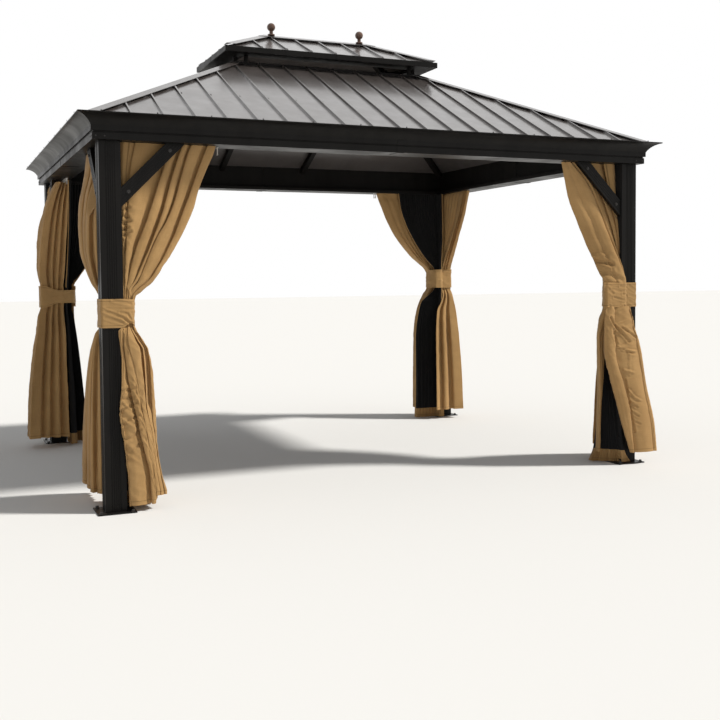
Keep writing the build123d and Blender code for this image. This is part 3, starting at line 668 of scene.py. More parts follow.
def smoothed(grid):
    """Evens a grid out a little across the cloth, its borders held."""
    for _ in range(3):
        inner = 0.25 * grid[:, :-2] + 0.5 * grid[:, 1:-1] + 0.25 * grid[:, 2:]
        grid = np.concatenate([grid[:, :1], inner, grid[:, -1:]], axis=1)
    return grid


def at_heights(knots, heights):
    """Columns of knots that start with their height, in millimetres, at every row."""
    table = np.array(knots, float)
    table = table[np.argsort(-table[:, 0])]
    return monotone(-table[:, 0], table[:, 1:], -np.clip(heights, table[-1, 0], table[0, 0]))


NEAR_OUT = -16             # a curtain's edge beside its post stays this far in from the post's face
FOLD_DEPTH = 26            # depth of a fold where nothing else is said
UNEVEN = 0.25              # how far folds wander, as a share of the gap between them


def spread_lines(levels, shares, seed, heights, depth):
    """Fold lines at shares of the spread, from levels (height, near, far, front, back)."""
    rng = np.random.default_rng(seed)
    near, far, front, _ = at_heights(levels, heights).T
    gap = UNEVEN * np.diff(shares).min()
    down = np.linspace(0, 1, len(heights))
    made = []
    for share in shares:
        hold = np.minimum(front, NEAR_OUT) if share == 0 else front
        shift = monotone(np.linspace(0, 1, 5), rng.uniform(-gap, gap, 5), down)[:, 0]
        along = near + (far - near) * (share + (shift if 0 < share < 1 else 0))
        sink = rng.uniform(0, 0.12) * (near - far) * 0.05
        made.append(together(along, hold + sink, depth * rng.uniform(0.8, 1.2)))
    return made


FLAT_STEPS = 7             # points on the broad parts of a fold, and in its tight turns
TURN_STEPS = 4
EDGE_TURN = 8              # how far the near edge turns in, and the far one in two steps
FAR_TURN = (5, 12)
TUCK = (0.7, 0.42)         # how far a fold turns under: of its depth, at most of the lapped band
OPENING = (0.42, 0.27)     # its hollow: of its depth, at most of the lapping band
LIP = (6, 0.22)            # its edge's overhang: at most, and of the lapping band
BULGE = (0.10, 1, 11)      # how far a band bulges: of its width, at least and at most
END_DEPTH = 58             # depth of the folds across a curtain's far end
END_BENDS = ((0.62, 0.05), (0.98, 0.12), (0.84, 0.62), (1.06, 1.0))   # share of the way in, and of the depth
FIT_STEPS = 12             # halvings that fit the cloth's width


def fold_turn(before, here, after, way):
    """The four places where a cloth turns under a fold line and comes up again behind it."""
    band, after = np.abs(here[:, 0] - before[:, 0]), np.abs(after[:, 0] - here[:, 0])
    depth = np.abs(here[:, 2])
    sense = 1 if here[:, 2].mean() > 0 else -1
    lapping, lapped = (band, after)[::sense]
    tuck = way * np.minimum(TUCK[0] * depth, TUCK[1] * lapped)
    lip = way * np.minimum(LIP[0], LIP[1] * lapping)
    opening = way * np.minimum(OPENING[0] * depth, OPENING[1] * lapping)
    places = ((here[:, 0] - sense * (lip + opening), here[:, 1] - 0.55 * depth),
              (here[:, 0] + sense * tuck, here[:, 1] - depth),
              (here[:, 0] + 0.35 * sense * tuck, here[:, 1] - 0.5 * depth),
              (here[:, 0] - sense * lip, here[:, 1]))
    return places[::sense]


def folded(lines, back, width, folds, seed, tucked, slant, end):
    """Rows of one cloth: broad folds in front, each lapping over the next, and tight ones behind.

    lines: for each fold line, rows of (along, front, depth) in millimetres, from the near edge to the
    far one; a negative depth laps the near fold over the far one.
    tucked: how far the folds behind stay inside the far edge, as a share of the spread.
    slant: how far they lean to the near edge for each millimetre inward.
    end: folds across the far end, as their count and how far in they reach at each row.
    Also gives the number of columns in front."""
    rng = np.random.default_rng(seed)
    points, steps = [], []

    def put(along, out, count):
        points.append(together(along, out))
        steps.append(count)

    near, far = lines[0], lines[-1]
    way = np.sign(far[:, 0] - near[:, 0])
    put(near[:, 0], near[:, 1] - EDGE_TURN, FLAT_STEPS)
    for index, (before, here) in enumerate(zip(lines, lines[1:]), 1):
        last = index == len(lines) - 1
        band = np.abs(here[:, 0] - before[:, 0])
        bulge = np.clip(BULGE[0] * band, *BULGE[1:])
        rising = np.maximum(-before[:, 2], 0) if index > 1 else 0
        falling = 0 if last else np.maximum(here[:, 2], 0)
        tight = np.clip(rising / np.maximum(band, 1), 0, 1)
        for share, rise, early, late in ((0.30 + rng.uniform(-0.05, 0.05), 1.0, 0.4 + 0.4 * tight, 0.06),
                                         (0.72, 0.75, 0.1 + 0.5 * tight, 0.38)):
            place = before[:, :2] + (here[:, :2] - before[:, :2]) * share
            put(place[:, 0], place[:, 1] + bulge * rise - early * rising - late * falling, FLAT_STEPS)
        if not last:
            for place in fold_turn(before, here, lines[index + 1], way):
                put(*place, TURN_STEPS)
    put(far[:, 0], far[:, 1] - FAR_TURN[0], TURN_STEPS)
    put(far[:, 0] - 2 * way, far[:, 1] - FAR_TURN[1], TURN_STEPS)
    behind = far[:, 0].copy()
    if end:
        turns, inward = end
        sink = np.minimum(END_DEPTH, 0.42 * np.abs(far[:, 0] - near[:, 0]))
        shift = 0.0
        reach = inward - far[:, 1] + FAR_TURN[1]
        for turn in range(turns):
            for share, fold in END_BENDS[:2] if turn == turns - 1 else END_BENDS:
                part = min((turn + share + shift * (share > 0.7)) / turns, 1)
                put(far[:, 0] - way * (2 + sink * fold), far[:, 1] - FAR_TURN[1] + reach * part, TURN_STEPS)
            shift = rng.uniform(-0.12, 0.12)
        behind -= way * (sink + 8)
    front_count = len(points)
    deepest = np.min([line[:, 1] - np.abs(line[:, 2]) for line in lines], axis=0) - 5
    start = np.minimum(np.maximum(deepest, back + 12), far[:, 1] - 14)
    jitter = rng.uniform(-0.25, 0.25, 2 * folds + 1) / (2 * folds)
    for index, share in enumerate(np.linspace(0, 1, 2 * folds + 1)):
        along = behind - (behind - near[:, 0]) * (tucked + (0.97 - tucked) * share + jitter[index])
        depth_share = 1.0 if (index + bool(end)) % 2 else 0.12 * rng.uniform()
        put(along, start + (back - start) * depth_share, TURN_STEPS)
    points = np.stack(points, axis=1)
    steps[-1] = 1
    cell = np.concatenate([np.full(count, i) for i, count in enumerate(steps)])[:-1]
    within = np.concatenate([np.arange(count) / count for count in steps])[:-1]
    start, way = start[:, None], way[:, None]
    low_k, high_k = np.full((len(back), 1), 0.1), np.full((len(back), 1), 1.0)
    for _ in range(FIT_STEPS):
        k = (low_k + high_k) / 2
        fitted = points.copy()
        fitted[:, front_count:, 1] = start + (points[:, front_count:, 1] - start) * k
        fitted[:, front_count:, 0] += slant * way * (fitted[:, front_count:, 1] - start)
        along, out = (smoothed(part[:, cell] * (1 - within) + part[:, cell + 1] * within)
                      for part in (fitted[..., 0], fitted[..., 1]))
        length = np.hypot(np.diff(along, axis=1), np.diff(out, axis=1)).sum(1)
        short = length[:, None] < width / MM
        low_k, high_k = np.where(short, k, low_k), np.where(short, high_k, k)
    return along * MM, out * MM, sum(steps[:front_count])


NET_FOLDS = 19
NET_ROWS = 76
NET_STEPS = 5              # points to a pleat
NET_FLAT = (1.00, 2.07)
NET_HEM_ROWS = 3


def pleats(levels, seed):
    """Rows of even small pleats: arrays of distance along, outward and height."""
    rng = np.random.default_rng(seed)
    count = 2 * NET_FOLDS + 1
    height = np.linspace(levels[0][0], levels[-1][0], NET_ROWS)
    near, far, front, back = (column[:, None] * MM for column in at_heights(levels, height).T)
    steps, slide = np.linspace(0, 1, 6), np.linspace(0, 1, NET_ROWS)
    wander = monotone(steps, rng.uniform(-1, 1, (6, count)) * UNEVEN / (count - 1), slide)
    wander[:, 0] = wander[:, -1] = 0
    deep = monotone(steps, 1 - UNEVEN * rng.uniform(0, 1, (6, count)), slide)
    crest_along = near + (far - near) * (np.linspace(0, 1, count) + wander)
    crest = np.arange(count) % 2 == 0
    crest_out = np.where(crest, front - (1 - deep) * (front - back), back + (1 - deep) * (front - back))
    position = np.linspace(0, count - 1, NET_STEPS * (count - 1) // 2 + 1)
    cell = np.minimum(position.astype(int), count - 2)
    t = position - cell
    along, out = (part[:, cell] + (part[:, cell + 1] - part[:, cell]) * step
                  for part, step in ((crest_along, t), (crest_out, (1 - np.cos(math.pi * t)) / 2)))
    return along, out, np.repeat(height[:, None] * MM, len(position), axis=1)


def sheet_faces(rows, columns, flip, closed=False):
    index = np.arange(rows * columns).reshape(rows, columns)
    if closed:
        index = np.concatenate([index, index[:, :1]], axis=1)
    quads = together(index[:-1, :-1], index[1:, :-1], index[1:, 1:], index[:-1, 1:]).reshape(-1, 4)
    return quads[:, ::-1] if flip else quads


def store_places(piece, places):
    """Keeps each point's place on the flat cloth, across and down, and its distance to the nearest hem."""
    attribute = piece.data.attributes.new("cloth", "FLOAT_VECTOR", "POINT")
    attribute.data.foreach_set("vector", places.astype(np.float32).ravel())


def measured_places(grid, hems):
    """Places on the flat cloth, measured on the hanging one."""
    rows, columns = grid.shape[:2]
    across = np.zeros((rows, columns))
    across[:, 1:] = np.cumsum(np.linalg.norm(np.diff(grid, axis=1), axis=2), axis=1)
    across = np.repeat(across.mean(0)[None, :], rows, axis=0)
    down = np.zeros((rows, columns))
    down[1:] = np.cumsum(np.linalg.norm(np.diff(grid, axis=0), axis=2), axis=0)
    down = np.repeat(down.mean(1)[:, None], columns, axis=1)
    distances = {"near": across, "far": across[0, -1] - across, "bottom": down[-1, 0] - down}
    return together(across, down, np.min([distances[hem] for hem in hems], axis=0))


def ridges(field):
    """Sharp creases where a smooth field crosses zero, from -1 to 1."""
    return 1 - 2.6 * np.minimum(np.abs(field), 0.77)


def leaning_field(rng, rows, columns, bumps_down, bumps_across, lean):
    """Smooth random field whose bumps lean: each row moves along by so many columns."""
    reach = int(abs(lean) * rows) + 1
    wide = rough_field(rng, rows, columns + reach, bumps_down, bumps_across * (columns + reach) // columns)
    moves = np.arange(rows) * abs(lean)
    at = np.arange(columns + reach)
    return np.stack([np.interp(at[:columns] + move, at, row)
                     for move, row in zip(moves if lean > 0 else moves[::-1], wide)])


def pressed(along, height, strokes):
    """How deep creases press into a sheet, each given as depth, width and its line, all in millimetres."""
    total = np.zeros(np.broadcast(along, height).shape)
    for depth, width, line in strokes:
        nearest = np.full(total.shape, 1e6)
        for (x, z), (next_x, next_z) in zip(line[:-1], line[1:]):
            run, rise = next_x - x, next_z - z
            t = np.clip(((along - x) * run + (height - z) * rise) / (run ** 2 + rise ** 2), 0, 1)
            nearest = np.minimum(nearest, np.hypot(along - x - t * run, height - z - t * rise))
        total += depth * (np.exp(-(nearest / width) ** 2) - 0.5 * np.exp(-(nearest / width - 2) ** 2))
    return total


# Heights of wrinkles in metres: long ones down the folds, then slanted and small ones as (everywhere, in
# worn patches, close to the tie), and both in a crumpled patch
LONG_WRINKLES = 0.0013
SHARP_WRINKLES = ((0.0002, 0.0005, 0.0013), (0.0001, 0.0004, 0.0006))
CRUMPLED = (0.0026, 0.0040)
NEAR_TIE = 0.15


def creases(grid, along, height, front, outward, tie, seed, strength, crumples, strokes):
    """Wrinkles along the cloth's own normals: long ones down the folds, sharp ones, most near the tie.

    crumples: creased patches as (amount, along, height, half width, half height) in millimetres."""
    rng = np.random.default_rng(seed)
    rows, columns = along.shape
    normal = np.cross(np.gradient(grid, axis=1), np.gradient(grid, axis=0))
    normal /= np.maximum(np.linalg.norm(normal, axis=2, keepdims=True), 1e-9)
    ahead = normal @ outward
    sense = 1 if ahead[:, :front].sum() > 0 else -1
    shown = np.clip(2 * sense * ahead, 0, 1) * (np.arange(columns) < front)
    long_folds = rough_field(rng, rows, columns, 6, columns // 7)
    tall = int((height[0, 0] - height[-1, 0]) / 0.1)
    slanted = ridges(leaning_field(rng, rows, columns, tall, columns // 6, 160 / rows))
    crumple = ridges(leaning_field(rng, rows, columns, 2 * tall, columns // 5, -320 / rows))
    patches = np.clip(0.5 + rough_field(rng, rows, columns, 5, 5), 0, 1)
    close = np.exp(-((height - tie) / NEAR_TIE) ** 2)
    slanted_height, small_height = (even + worn * patches + tied * close
                                    for even, worn, tied in SHARP_WRINKLES)
    push = strength * (LONG_WRINKLES * long_folds + slanted_height * slanted + small_height * crumple)
    for amount, at, level, half_width, half_height in crumples:
        worn = np.exp(-((along / MM - at) / half_width) ** 2 - ((height / MM - level) / half_height) ** 2)
        push += amount * worn * shown * (CRUMPLED[0] * slanted + CRUMPLED[1] * crumple)
    push -= pressed(along / MM, height / MM, strokes) * shown * MM
    return grid + normal * (sense * push)[..., None]


CURTAIN_TOP = 2079.5
CURTAIN_HEM = 85.0
CURTAIN_FLAT = {"long": (1.45, 2.02), "short": (1.30, 2.02), "apron": (0.62, 1.02)}


def hang(corner, kind, seed, lines, levels, folds=9, rows=130, tucked=0.03, slant=0.0, strength=2.0,
         top=CURTAIN_TOP, hem_drop=((0, 0), (1, 0)), shares=(0, .22, .45, .7, 1), depth=FOLD_DEPTH,
         crumples=(), strokes=(), end=None):
    """One curtain beside a post: fold lines in front, tight folds behind, its spread fitted to the width of
    its flat size.

    lines: measured fold lines, or None for lines spread over the levels at shares.
    hem_drop: how much lower the hem hangs, in millimetres, at shares of the width."""
    along_x, flat = kind != "short", CURTAIN_FLAT[kind]
    heights = np.linspace(top, CURTAIN_HEM, rows)
    back = at_heights(levels, heights)[:, -1]
    if lines:
        made = [at_heights([(*knot, FOLD_DEPTH)[:4] for knot in line], heights) for line in lines]
    else:
        made = spread_lines(levels, shares, seed, heights, depth)
    if end:
        end = (end[0], at_heights(end[1], heights)[:, 0])
    along, out, front = folded(made, back, flat[0], folds, seed, tucked, slant, end)
    columns = along.shape[1]
    drop = np.interp(np.linspace(0, 1, columns), *np.array(hem_drop, float).T)
    down = (top - heights)[:, None] / (top - CURTAIN_HEM)
    height = (heights[:, None] - drop[None, :] * down ** 3) * MM
    along, out = held_clear(along, out, height, kind != "apron")
    grid = to_world(corner, along_x, along, out, height)
    outward = to_world(corner, along_x, 1 if end else 0, 1, 0) - to_world(corner, along_x, 0, 0, 0)
    grid = creases(grid, along, height, front, outward, TIE_MIDDLE[corner], seed + 100, strength,
                   crumples, strokes)
    hang_sheet("curtain_" + corner + "_" + kind, corner, along_x, grid, flat, ("near", "far", "bottom"),
               "curtains_" + corner, "curtain_fabric")


def hang_sheet(name, corner, along_x, grid, flat, hems, replaced, coat, *edging, kinds=None):
    """Piece from the rows of a hanging cloth."""
    sx, sy = corner_signs(corner)
    rows, columns = grid.shape[:2]
    faces = sheet_faces(rows, columns, sx * sy * (1 if along_x else -1) < 0)
    piece = make_mesh(name, (grid.reshape(-1, 3), faces), (coat, *edging), True, kinds)
    store_places(piece, measured_places(grid, hems))
    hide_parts(replaced)


# Fold lines of the front left long curtain: height, along, front and depth, in millimetres
FRONT_LEFT_LONG = (
    [(2080, 5, -56), (1700, 5, -54), (1400, 4, -44), (1245, 2, -24), (1060, 0, -18), (1045, -14, 2),
     (1028, -30, 8), (875, -18, 18), (732, -21, 22), (581, -36, 26), (496, -26, 26), (325, -4, 26),
     (154, 9, 24), (51, 8, 24)],
    [(2080, 92, -52, 18), (1923, 62, -52, 18), (1700, 46, -50, 16), (1500, 30, -40, 14),
     (1245, 12, -22, 10), (1060, 8, -18, 8), (1030, -22, 10, 5), (875, -10, 18, 5), (600, -26, 26, 5),
     (325, 4, 26, 5), (85, 18, 24, 5)],
    [(2080, 294, -49, 44), (1923, 244, -49, 46), (1808, 204, -48, 46), (1700, 168, -46, 46),
     (1597, 129, -42, 42), (1506, 90, -38, 36), (1415, 61, -32, 28), (1331, 40, -26, 20),
     (1245, 22, -22, 12), (1060, 17, -18, 10), (1030, -6, 12, 14), (1001, -8, 16, 18), (781, 13, 24, 28),
     (627, 44, 30, 32), (446, 82, 34, 34), (229, 129, 36, 34), (108, 135, 36, 34)],
    [(2080, 364, -47, 42), (2006, 336, -47, 44), (1850, 285, -47, 46), (1712, 246, -46, 44),
     (1623, 214, -42, 40), (1523, 176, -36, 36), (1400, 120, -30, 26), (1300, 72, -24, 18),
     (1245, 36, -22, 10), (1060, 29, -18, 8), (1001, 20, 24, 3), (781, 62, 30, 1), (627, 84, 34, 1),
     (446, 116, 37, 1), (229, 150, 38, 1), (108, 162, 38, 1)],
    [(2080, 412, -46, 38), (2049, 399, -46, 40), (1881, 346, -45, 44), (1748, 306, -44, 42),
     (1638, 258, -40, 38), (1546, 199, -36, 34), (1420, 142, -30, 26), (1300, 88, -24, 16),
     (1245, 50, -22, 10), (1060, 40, -18, -8), (980, 70, 14, -30), (913, 104, 22, -40), (781, 112, 26, -42),
     (627, 116, 28, -40), (560, 122, 26, -16), (446, 146, 28, -6), (229, 166, 32, -5), (108, 186, 34, -5)],
    [(2080, 508, -45, 34), (2041, 491, -45, 36), (1918, 443, -45, 38), (1802, 400, -44, 38),
     (1691, 355, -40, 36), (1564, 303, -36, 32), (1467, 255, -32, 24), (1375, 202, -28, 22),
     (1307, 155, -24, 20), (1245, 80, -22, 12), (1215, 56, -20, 10), (1060, 51, -18, 10), (980, 94, 0, 12),
     (913, 132, 2, 14), (775, 146, 6, 18), (627, 148, 10, 18), (560, 150, 14, 9), (397, 165, 18, 7),
     (85, 214, 22, 8)],
    [(2080, 560, -50), (2037, 546, -50), (1931, 497, -49), (1814, 450, -48), (1727, 425, -46),
     (1605, 370, -42), (1504, 316, -38), (1395, 242, -34), (1307, 180, -30), (1245, 108, -26),
     (1215, 70, -24), (1060, 62, -22), (1035, 68, -14), (955, 112, -6), (875, 142, -4), (775, 158, 0),
     (586, 170, 4), (397, 176, 6), (268, 181, 8), (108, 225, 10)])

# Fold lines of the front right long curtain: a broad panel laps over the folds near the post
FRONT_RIGHT_LONG = (
    [(2080, 8, -60), (1768, 6, -45), (1650, 5, -26), (1461, 4, -18), (1093, 4, -18), (1000, 40, -58),
     (883, 84, -58), (718, 98, -56), (583, 110, -54), (301, 132, -54), (85, 136, -54)],
    [(2080, 110, -56, -34), (1871, 60, -54, -30), (1768, 36, -46, -26), (1611, 16, -22, -14),
     (1461, 8, -14, -10), (1093, 8, -14, -8), (1000, 48, -56, -6), (883, 96, -56, -6), (718, 106, -54, -6),
     (583, 114, -54, -6), (301, 135, -52, -6), (85, 139, -52, -6)],
    [(2080, 220, -54, -36), (1871, 130, -52, -32), (1768, 88, -48, -28), (1611, 42, -34, -20),
     (1461, 16, -22, -12), (1267, 12, -16, -8), (1093, 12, -16, -8), (1000, 62, -54, -6),
     (883, 104, -54, -6), (718, 112, -52, -6), (583, 118, -52, -6), (301, 138, -50, -6), (85, 141, -50, -6)],
    [(2080, 332, -50, 26), (1964, 234, -50, 28), (1796, 150, -46, 28), (1625, 78, -32, 24),
     (1467, 24, -10, 18), (1340, -8, 11, 10), (1267, -20, 12, 8), (1093, -18, 11, 8), (1040, 0, -8, 6),
     (964, 50, -46, 6), (883, 112, -52, 6), (718, 118, -50, 6), (583, 122, -50, 6), (301, 141, -48, 6),
     (85, 144, -48, 6)],
    [(2080, 390, -47, 30), (1949, 258, -47, 34), (1850, 196, -46, 38), (1730, 144, -40, 40),
     (1624, 106, -27, 40), (1452, 40, 0, 36), (1340, -2, 16, 22), (1267, -24, 17, 12), (1093, -22, 15, 10),
     (1040, 8, -6, 8), (964, 66, -44, 8), (883, 120, -50, 7), (718, 124, -48, 7), (583, 127, -48, 7),
     (301, 144, -46, 6), (85, 147, -46, 6)],
    [(2080, 424, -50, 2), (1814, 290, -58, 2), (1677, 216, -50, 2), (1522, 150, -34, 3),
     (1417, 112, -16, 4), (1321, 84, 8, 6), (1267, 66, 18, 8), (1093, 60, 14, 8), (1040, 74, -16, 8),
     (964, 108, -44, 6), (883, 138, -50, 5), (718, 138, -48, 5), (583, 135, -48, 5), (301, 147, -46, 4),
     (85, 150, -46, 4)],
    [(2080, 453, -56), (1814, 374, -77), (1677, 309, -78), (1522, 238, -72), (1417, 186, -60),
     (1321, 152, -34), (1267, 140, 2), (1093, 140, 2), (1064, 138, -20), (964, 146, -44), (883, 152, -52),
     (718, 149, -50), (583, 144, -48), (467, 145, -46), (301, 150, -46), (85, 152, -46)])
LONG_BACK = [(2080, -114), (1000, -118), (85, -118)]

# Fold lines of the panel that falls in front of the front right post
FRONT_RIGHT_APRON = (
    [(1097, -66, 24), (1084, -64, 28), (957, -90, 38), (804, -132, 52), (530, -172, 70), (270, -228, 82),
     (85, -243, 88)],
    [(1097, -46, 26, 5), (957, -66, 40, 6), (804, -96, 54, 7), (530, -136, 74, 8), (270, -186, 86, 9),
     (85, -202, 92, 10)],
    [(1097, 84, 26, 14), (850, 96, 54, 20), (744, 90, 64, 30), (574, 38, 76, 34), (369, -8, 86, 34),
     (85, -36, 94, 34)],
    [(1097, 140, 20), (1084, 144, 24), (957, 162, 34), (814, 168, 44), (630, 134, 58), (460, 88, 68),
     (306, 46, 76), (90, -28, 84)])
APRON_BACK = [(1097, 4), (957, 4), (630, 8), (85, 30)]

# Creased patches and single creases, in millimetres along and up; a negative depth stands proud
FRONT_LEFT_CRUMPLES = ((0.9, 38, 1610, 30, 120), (1.0, 18, 500, 60, 170))
FRONT_LEFT_STROKES = (
    (6, 8, [(-33, 684), (51, 702)]), (7, 8, [(-40, 572), (10, 590), (55, 622)]),
    (6, 8, [(-25, 498), (65, 548)]), (6, 8, [(-16, 413), (30, 420), (74, 463)]),
    (5, 8, [(-1, 327), (78, 389)]), (6, 7, [(10, 1700), (52, 1716)]),
    (6, 7, [(14, 1622), (54, 1640)]), (7, 7, [(16, 1556), (56, 1580)]), (5, 7, [(-20, 640), (40, 652)]),
    (5, 7, [(8, 1668), (40, 1662)]), (5, 7, [(12, 1590), (46, 1602)]))
FRONT_RIGHT_STROKES = (
    (-6, 11, [(233, 1445), (134, 1452)]), (11, 12, [(225, 1425), (150, 1404), (83, 1390)]),
    (-4, 12, [(195, 1404), (70, 1349)]), (7, 14, [(140, 1335), (14, 1279)]))
APRON_CRUMPLES = ((0.8, -30, 430, 40, 70), (0.7, 40, 900, 90, 90))
APRON_STROKES = (
    (9, 7, [(121, 1021), (93, 971), (-25, 851)]), (9, 7, [(28, 949), (-82, 883)]),
    (-6, 6, [(76, 833), (33, 797), (-77, 786)]), (6, 9, [(102, 937), (76, 833)]),
    (6, 6, [(60, 812), (-60, 768)]),
    (-6, 6, [(-11, 519), (-54, 468), (-97, 445)]), (-4, 6, [(-17, 796), (-18, 622)]),
    (6, 6, [(14, 590), (-8, 470), (-24, 380), (-40, 300), (-54, 230)]), (5, 6, [(-20, 436), (-70, 398)]),
    (5, 6, [(-28, 372), (-80, 336)]), (4, 6, [(-44, 306), (-92, 280)]), (-4, 7, [(24, 660), (-44, 640)]))

# Levels of the other curtains: height, near edge, far edge, front, back, in millimetres
FRONT_LEFT_SHORT = [
    (2080, 8, 700, -50, -114), (1931, 8, 640, -20, -112), (1750, 6, 540, 26, -110),
    (1600, 5, 450, 40, -110), (1480, 4, 370, 42, -110), (1380, 3, 270, 30, -110),
    (1290, 2, 170, 10, -108), (1240, 1, 100, -12, -108), (1215, 1, 84, -20, -106),
    (1045, 1, 82, -20, -106), (1000, 0, 100, 6, -108), (900, 0, 170, 26, -110), (750, 2, 270, 34, -112),
    (560, 4, 360, 38, -112), (350, 4, 430, 42, -112), (85, 4, 480, 44, -112)]
FRONT_RIGHT_SHORT = [
    (2080, 8, 560, -50, -114), (1900, 8, 500, -46, -112), (1700, 6, 410, -20, -112),
    (1500, 4, 290, -4, -110), (1350, 3, 180, -8, -108), (1267, 1, 84, -20, -106),
    (1093, 1, 82, -20, -106), (1000, 0, 120, -10, -108), (800, 2, 180, -4, -110), (500, 4, 230, 6, -112),
    (85, 4, 262, 16, -112)]
BACK_LEFT_LONG = [
    (2080, 8, 430, -50, -114), (1900, 8, 400, -48, -112), (1700, 6, 335, -40, -112),
    (1500, 4, 240, -34, -110), (1417, 3, 190, -30, -110), (1320, 2, 118, -26, -108),
    (1265, 1, 84, -20, -106), (1095, 1, 80, -20, -106), (1000, 2, 84, -10, -108), (800, 4, 98, -4, -110),
    (500, 4, 112, 6, -112), (85, 4, 124, 14, -112)]
BACK_LEFT_SHORT = [
    (2080, 8, 560, -40, -114), (1960, 8, 530, 16, -112), (1860, 8, 495, 50, -112),
    (1700, 8, 420, 76, -112), (1550, 6, 335, 86, -112), (1430, 4, 255, 88, -112),
    (1330, 2, 160, 78, -110), (1265, 1, 90, 62, -108), (1095, 1, 88, 64, -108), (1030, 2, 112, 84, -110),
    (900, 4, 172, 104, -112), (796, 5, 205, 124, -114), (700, 6, 224, 138, -114),
    (400, 8, 270, 172, -116), (85, 8, 300, 190, -118)]
BACK_LEFT_END = (4, [(2080, -112), (1265, -112), (1095, -108), (900, -112), (85, -118)])
BACK_RIGHT_LONG = [
    (2080, 8, 615, -50, -116), (1900, 8, 540, -48, -112), (1722, 8, 446, -44, -112),
    (1630, 6, 375, -40, -112), (1538, 5, 293, -36, -110), (1460, 3, 205, -30, -108),
    (1388, 1, 110, -22, -106), (1340, 1, 84, -20, -106), (1212, 1, 82, -20, -106),
    (1150, 10, 118, -2, -108), (1000, 20, 184, 2, -110), (756, 30, 214, 8, -112), (85, 30, 224, 16, -112)]
BACK_RIGHT_SHORT = [
    (2080, 8, 470, -50, -114), (1870, 8, 374, -46, -112), (1650, 5, 228, -36, -110),
    (1488, 3, 112, -26, -108), (1400, 1, 48, -20, -106), (1340, 1, 30, -20, -106),
    (1212, 1, 28, -20, -106), (1150, 2, 54, -8, -108), (1003, 4, 108, 2, -110), (753, 4, 154, 12, -112),
    (400, 4, 186, 22, -112), (85, 4, 202, 26, -112)]
BACK_RIGHT_END = (3, [(2080, -112), (1340, -112), (1150, -112), (1080, -150), (1003, -205), (753, -246),
    (400, -262), (85, -268)])


def curtains():
    hang("front_left", "long", 3, FRONT_LEFT_LONG, LONG_BACK, folds=8, rows=300,
         hem_drop=((0, 50), (0.3, 45), (0.38, 0), (1, 0)), crumples=FRONT_LEFT_CRUMPLES,
         strokes=FRONT_LEFT_STROKES)
    hang("front_left", "short", 5, None, FRONT_LEFT_SHORT, folds=7, rows=190, shares=(0, .16, .38, .68, 1),
         depth=34)
    hang("front_right", "long", 7, FRONT_RIGHT_LONG, LONG_BACK, folds=18, rows=230, tucked=0.14, slant=0.7,
         strength=1.1, strokes=FRONT_RIGHT_STROKES)
    hang("front_right", "short", 9, None, FRONT_RIGHT_SHORT, folds=8, shares=(0, .2, .4, .7, 1))
    hang("front_right", "apron", 13, FRONT_RIGHT_APRON, APRON_BACK, folds=3, rows=220, top=1097.0,
         crumples=APRON_CRUMPLES, strokes=APRON_STROKES)
    hang("back_left", "long", 15, None, BACK_LEFT_LONG, folds=15, depth=36)
    hang("back_left", "short", 17, None, BACK_LEFT_SHORT, folds=5, top=2047.0, depth=36, end=BACK_LEFT_END,
         shares=(0, .16, .36, .6, .82, 1))
    hang("back_right", "long", 19, None, BACK_RIGHT_LONG, folds=9, shares=(0, .16, .36, .58, .8, 1), depth=36)
    hang("back_right", "short", 21, None, BACK_RIGHT_SHORT, folds=6, depth=36, end=BACK_RIGHT_END)


# Nets, in millimetres: reach at the tie and just under it, least reach on a short side, reach at the
# track on a long side, and how the spread eases in above the tie
NET_SHAPE = {"front_right": (42, 40, 48, 350, 1.25)}
USUAL_NET = (60, 58, 60, 425, 1.8)
NET_SHORT_REACH = 355
NET_SHORT_NEAR = 34
NET_NEAR = 2
NET_FRONT = -123
NET_FLOOR = 9
NET_LOW = (1000, 175)      # under this height a short side's net reaches at most so far
# Back right net on the short side: the height where it is narrow, over how much, its reach, and more above
NET_BEHIND = (1212, 450, 38, 58)
# Below the ties: share of the way down, reach of a usual, the front right and the back right net, and back
NET_LOWER = ((0.12, (80, 72, 205), -158), (0.4, (115, 80, 262), -170), (0.75, (148, 86, 266), -185),
             (0.92, (164, 112, 268), -190), (1.0, (172, 157, 270), -190))


def net_levels(corner, along_x):
    """A net's levels: open at the track, gathered at the tie, spread again on the floor."""
    waist, tied, least, reach, power = NET_SHAPE.get(corner, USUAL_NET)
    tie_top, tie_low = ((TIE_MIDDLE[corner] + side * TIE_HEIGHT[corner] / 2) / MM for side in (1, -1))
    column = {"front_right": 1, "back_right": 2}.get(corner, 0)
    levels = []
    for share in (1.0, 0.8, 0.6, 0.4, 0.25, 0.12, 0.0):
        wide = waist + ((reach if along_x else NET_SHORT_REACH) - waist) * (1 - (1 - share) ** power)
        levels.append((tie_top + (CURTAIN_TOP - tie_top) * share, wide, -158 + 6 * (1 - share)))
    levels.append((tie_low, tied, -142))
    for share, reaches, back in NET_LOWER:
        levels.append((tie_low + (NET_FLOOR - tie_low) * share, reaches[column], back))
    if along_x:
        return [(z, NET_NEAR, far, NET_FRONT, back) for z, far, back in levels]
    narrow_at, over, narrow, more = NET_BEHIND
    low, most = NET_LOW
    shorter = []
    for z, far, back in levels:
        if corner == "back_right":
            far = min(far, narrow + more * min(abs(z - narrow_at) / over, 1))
        far = max(far, least)
        shorter.append((z, NET_SHORT_NEAR, min(far, most) if z < low else far, NET_FRONT, back))
    return shorter


NET_FORWARD = 0.160        # the front right net falls forward round its post's foot
NET_ASIDE = 0.082


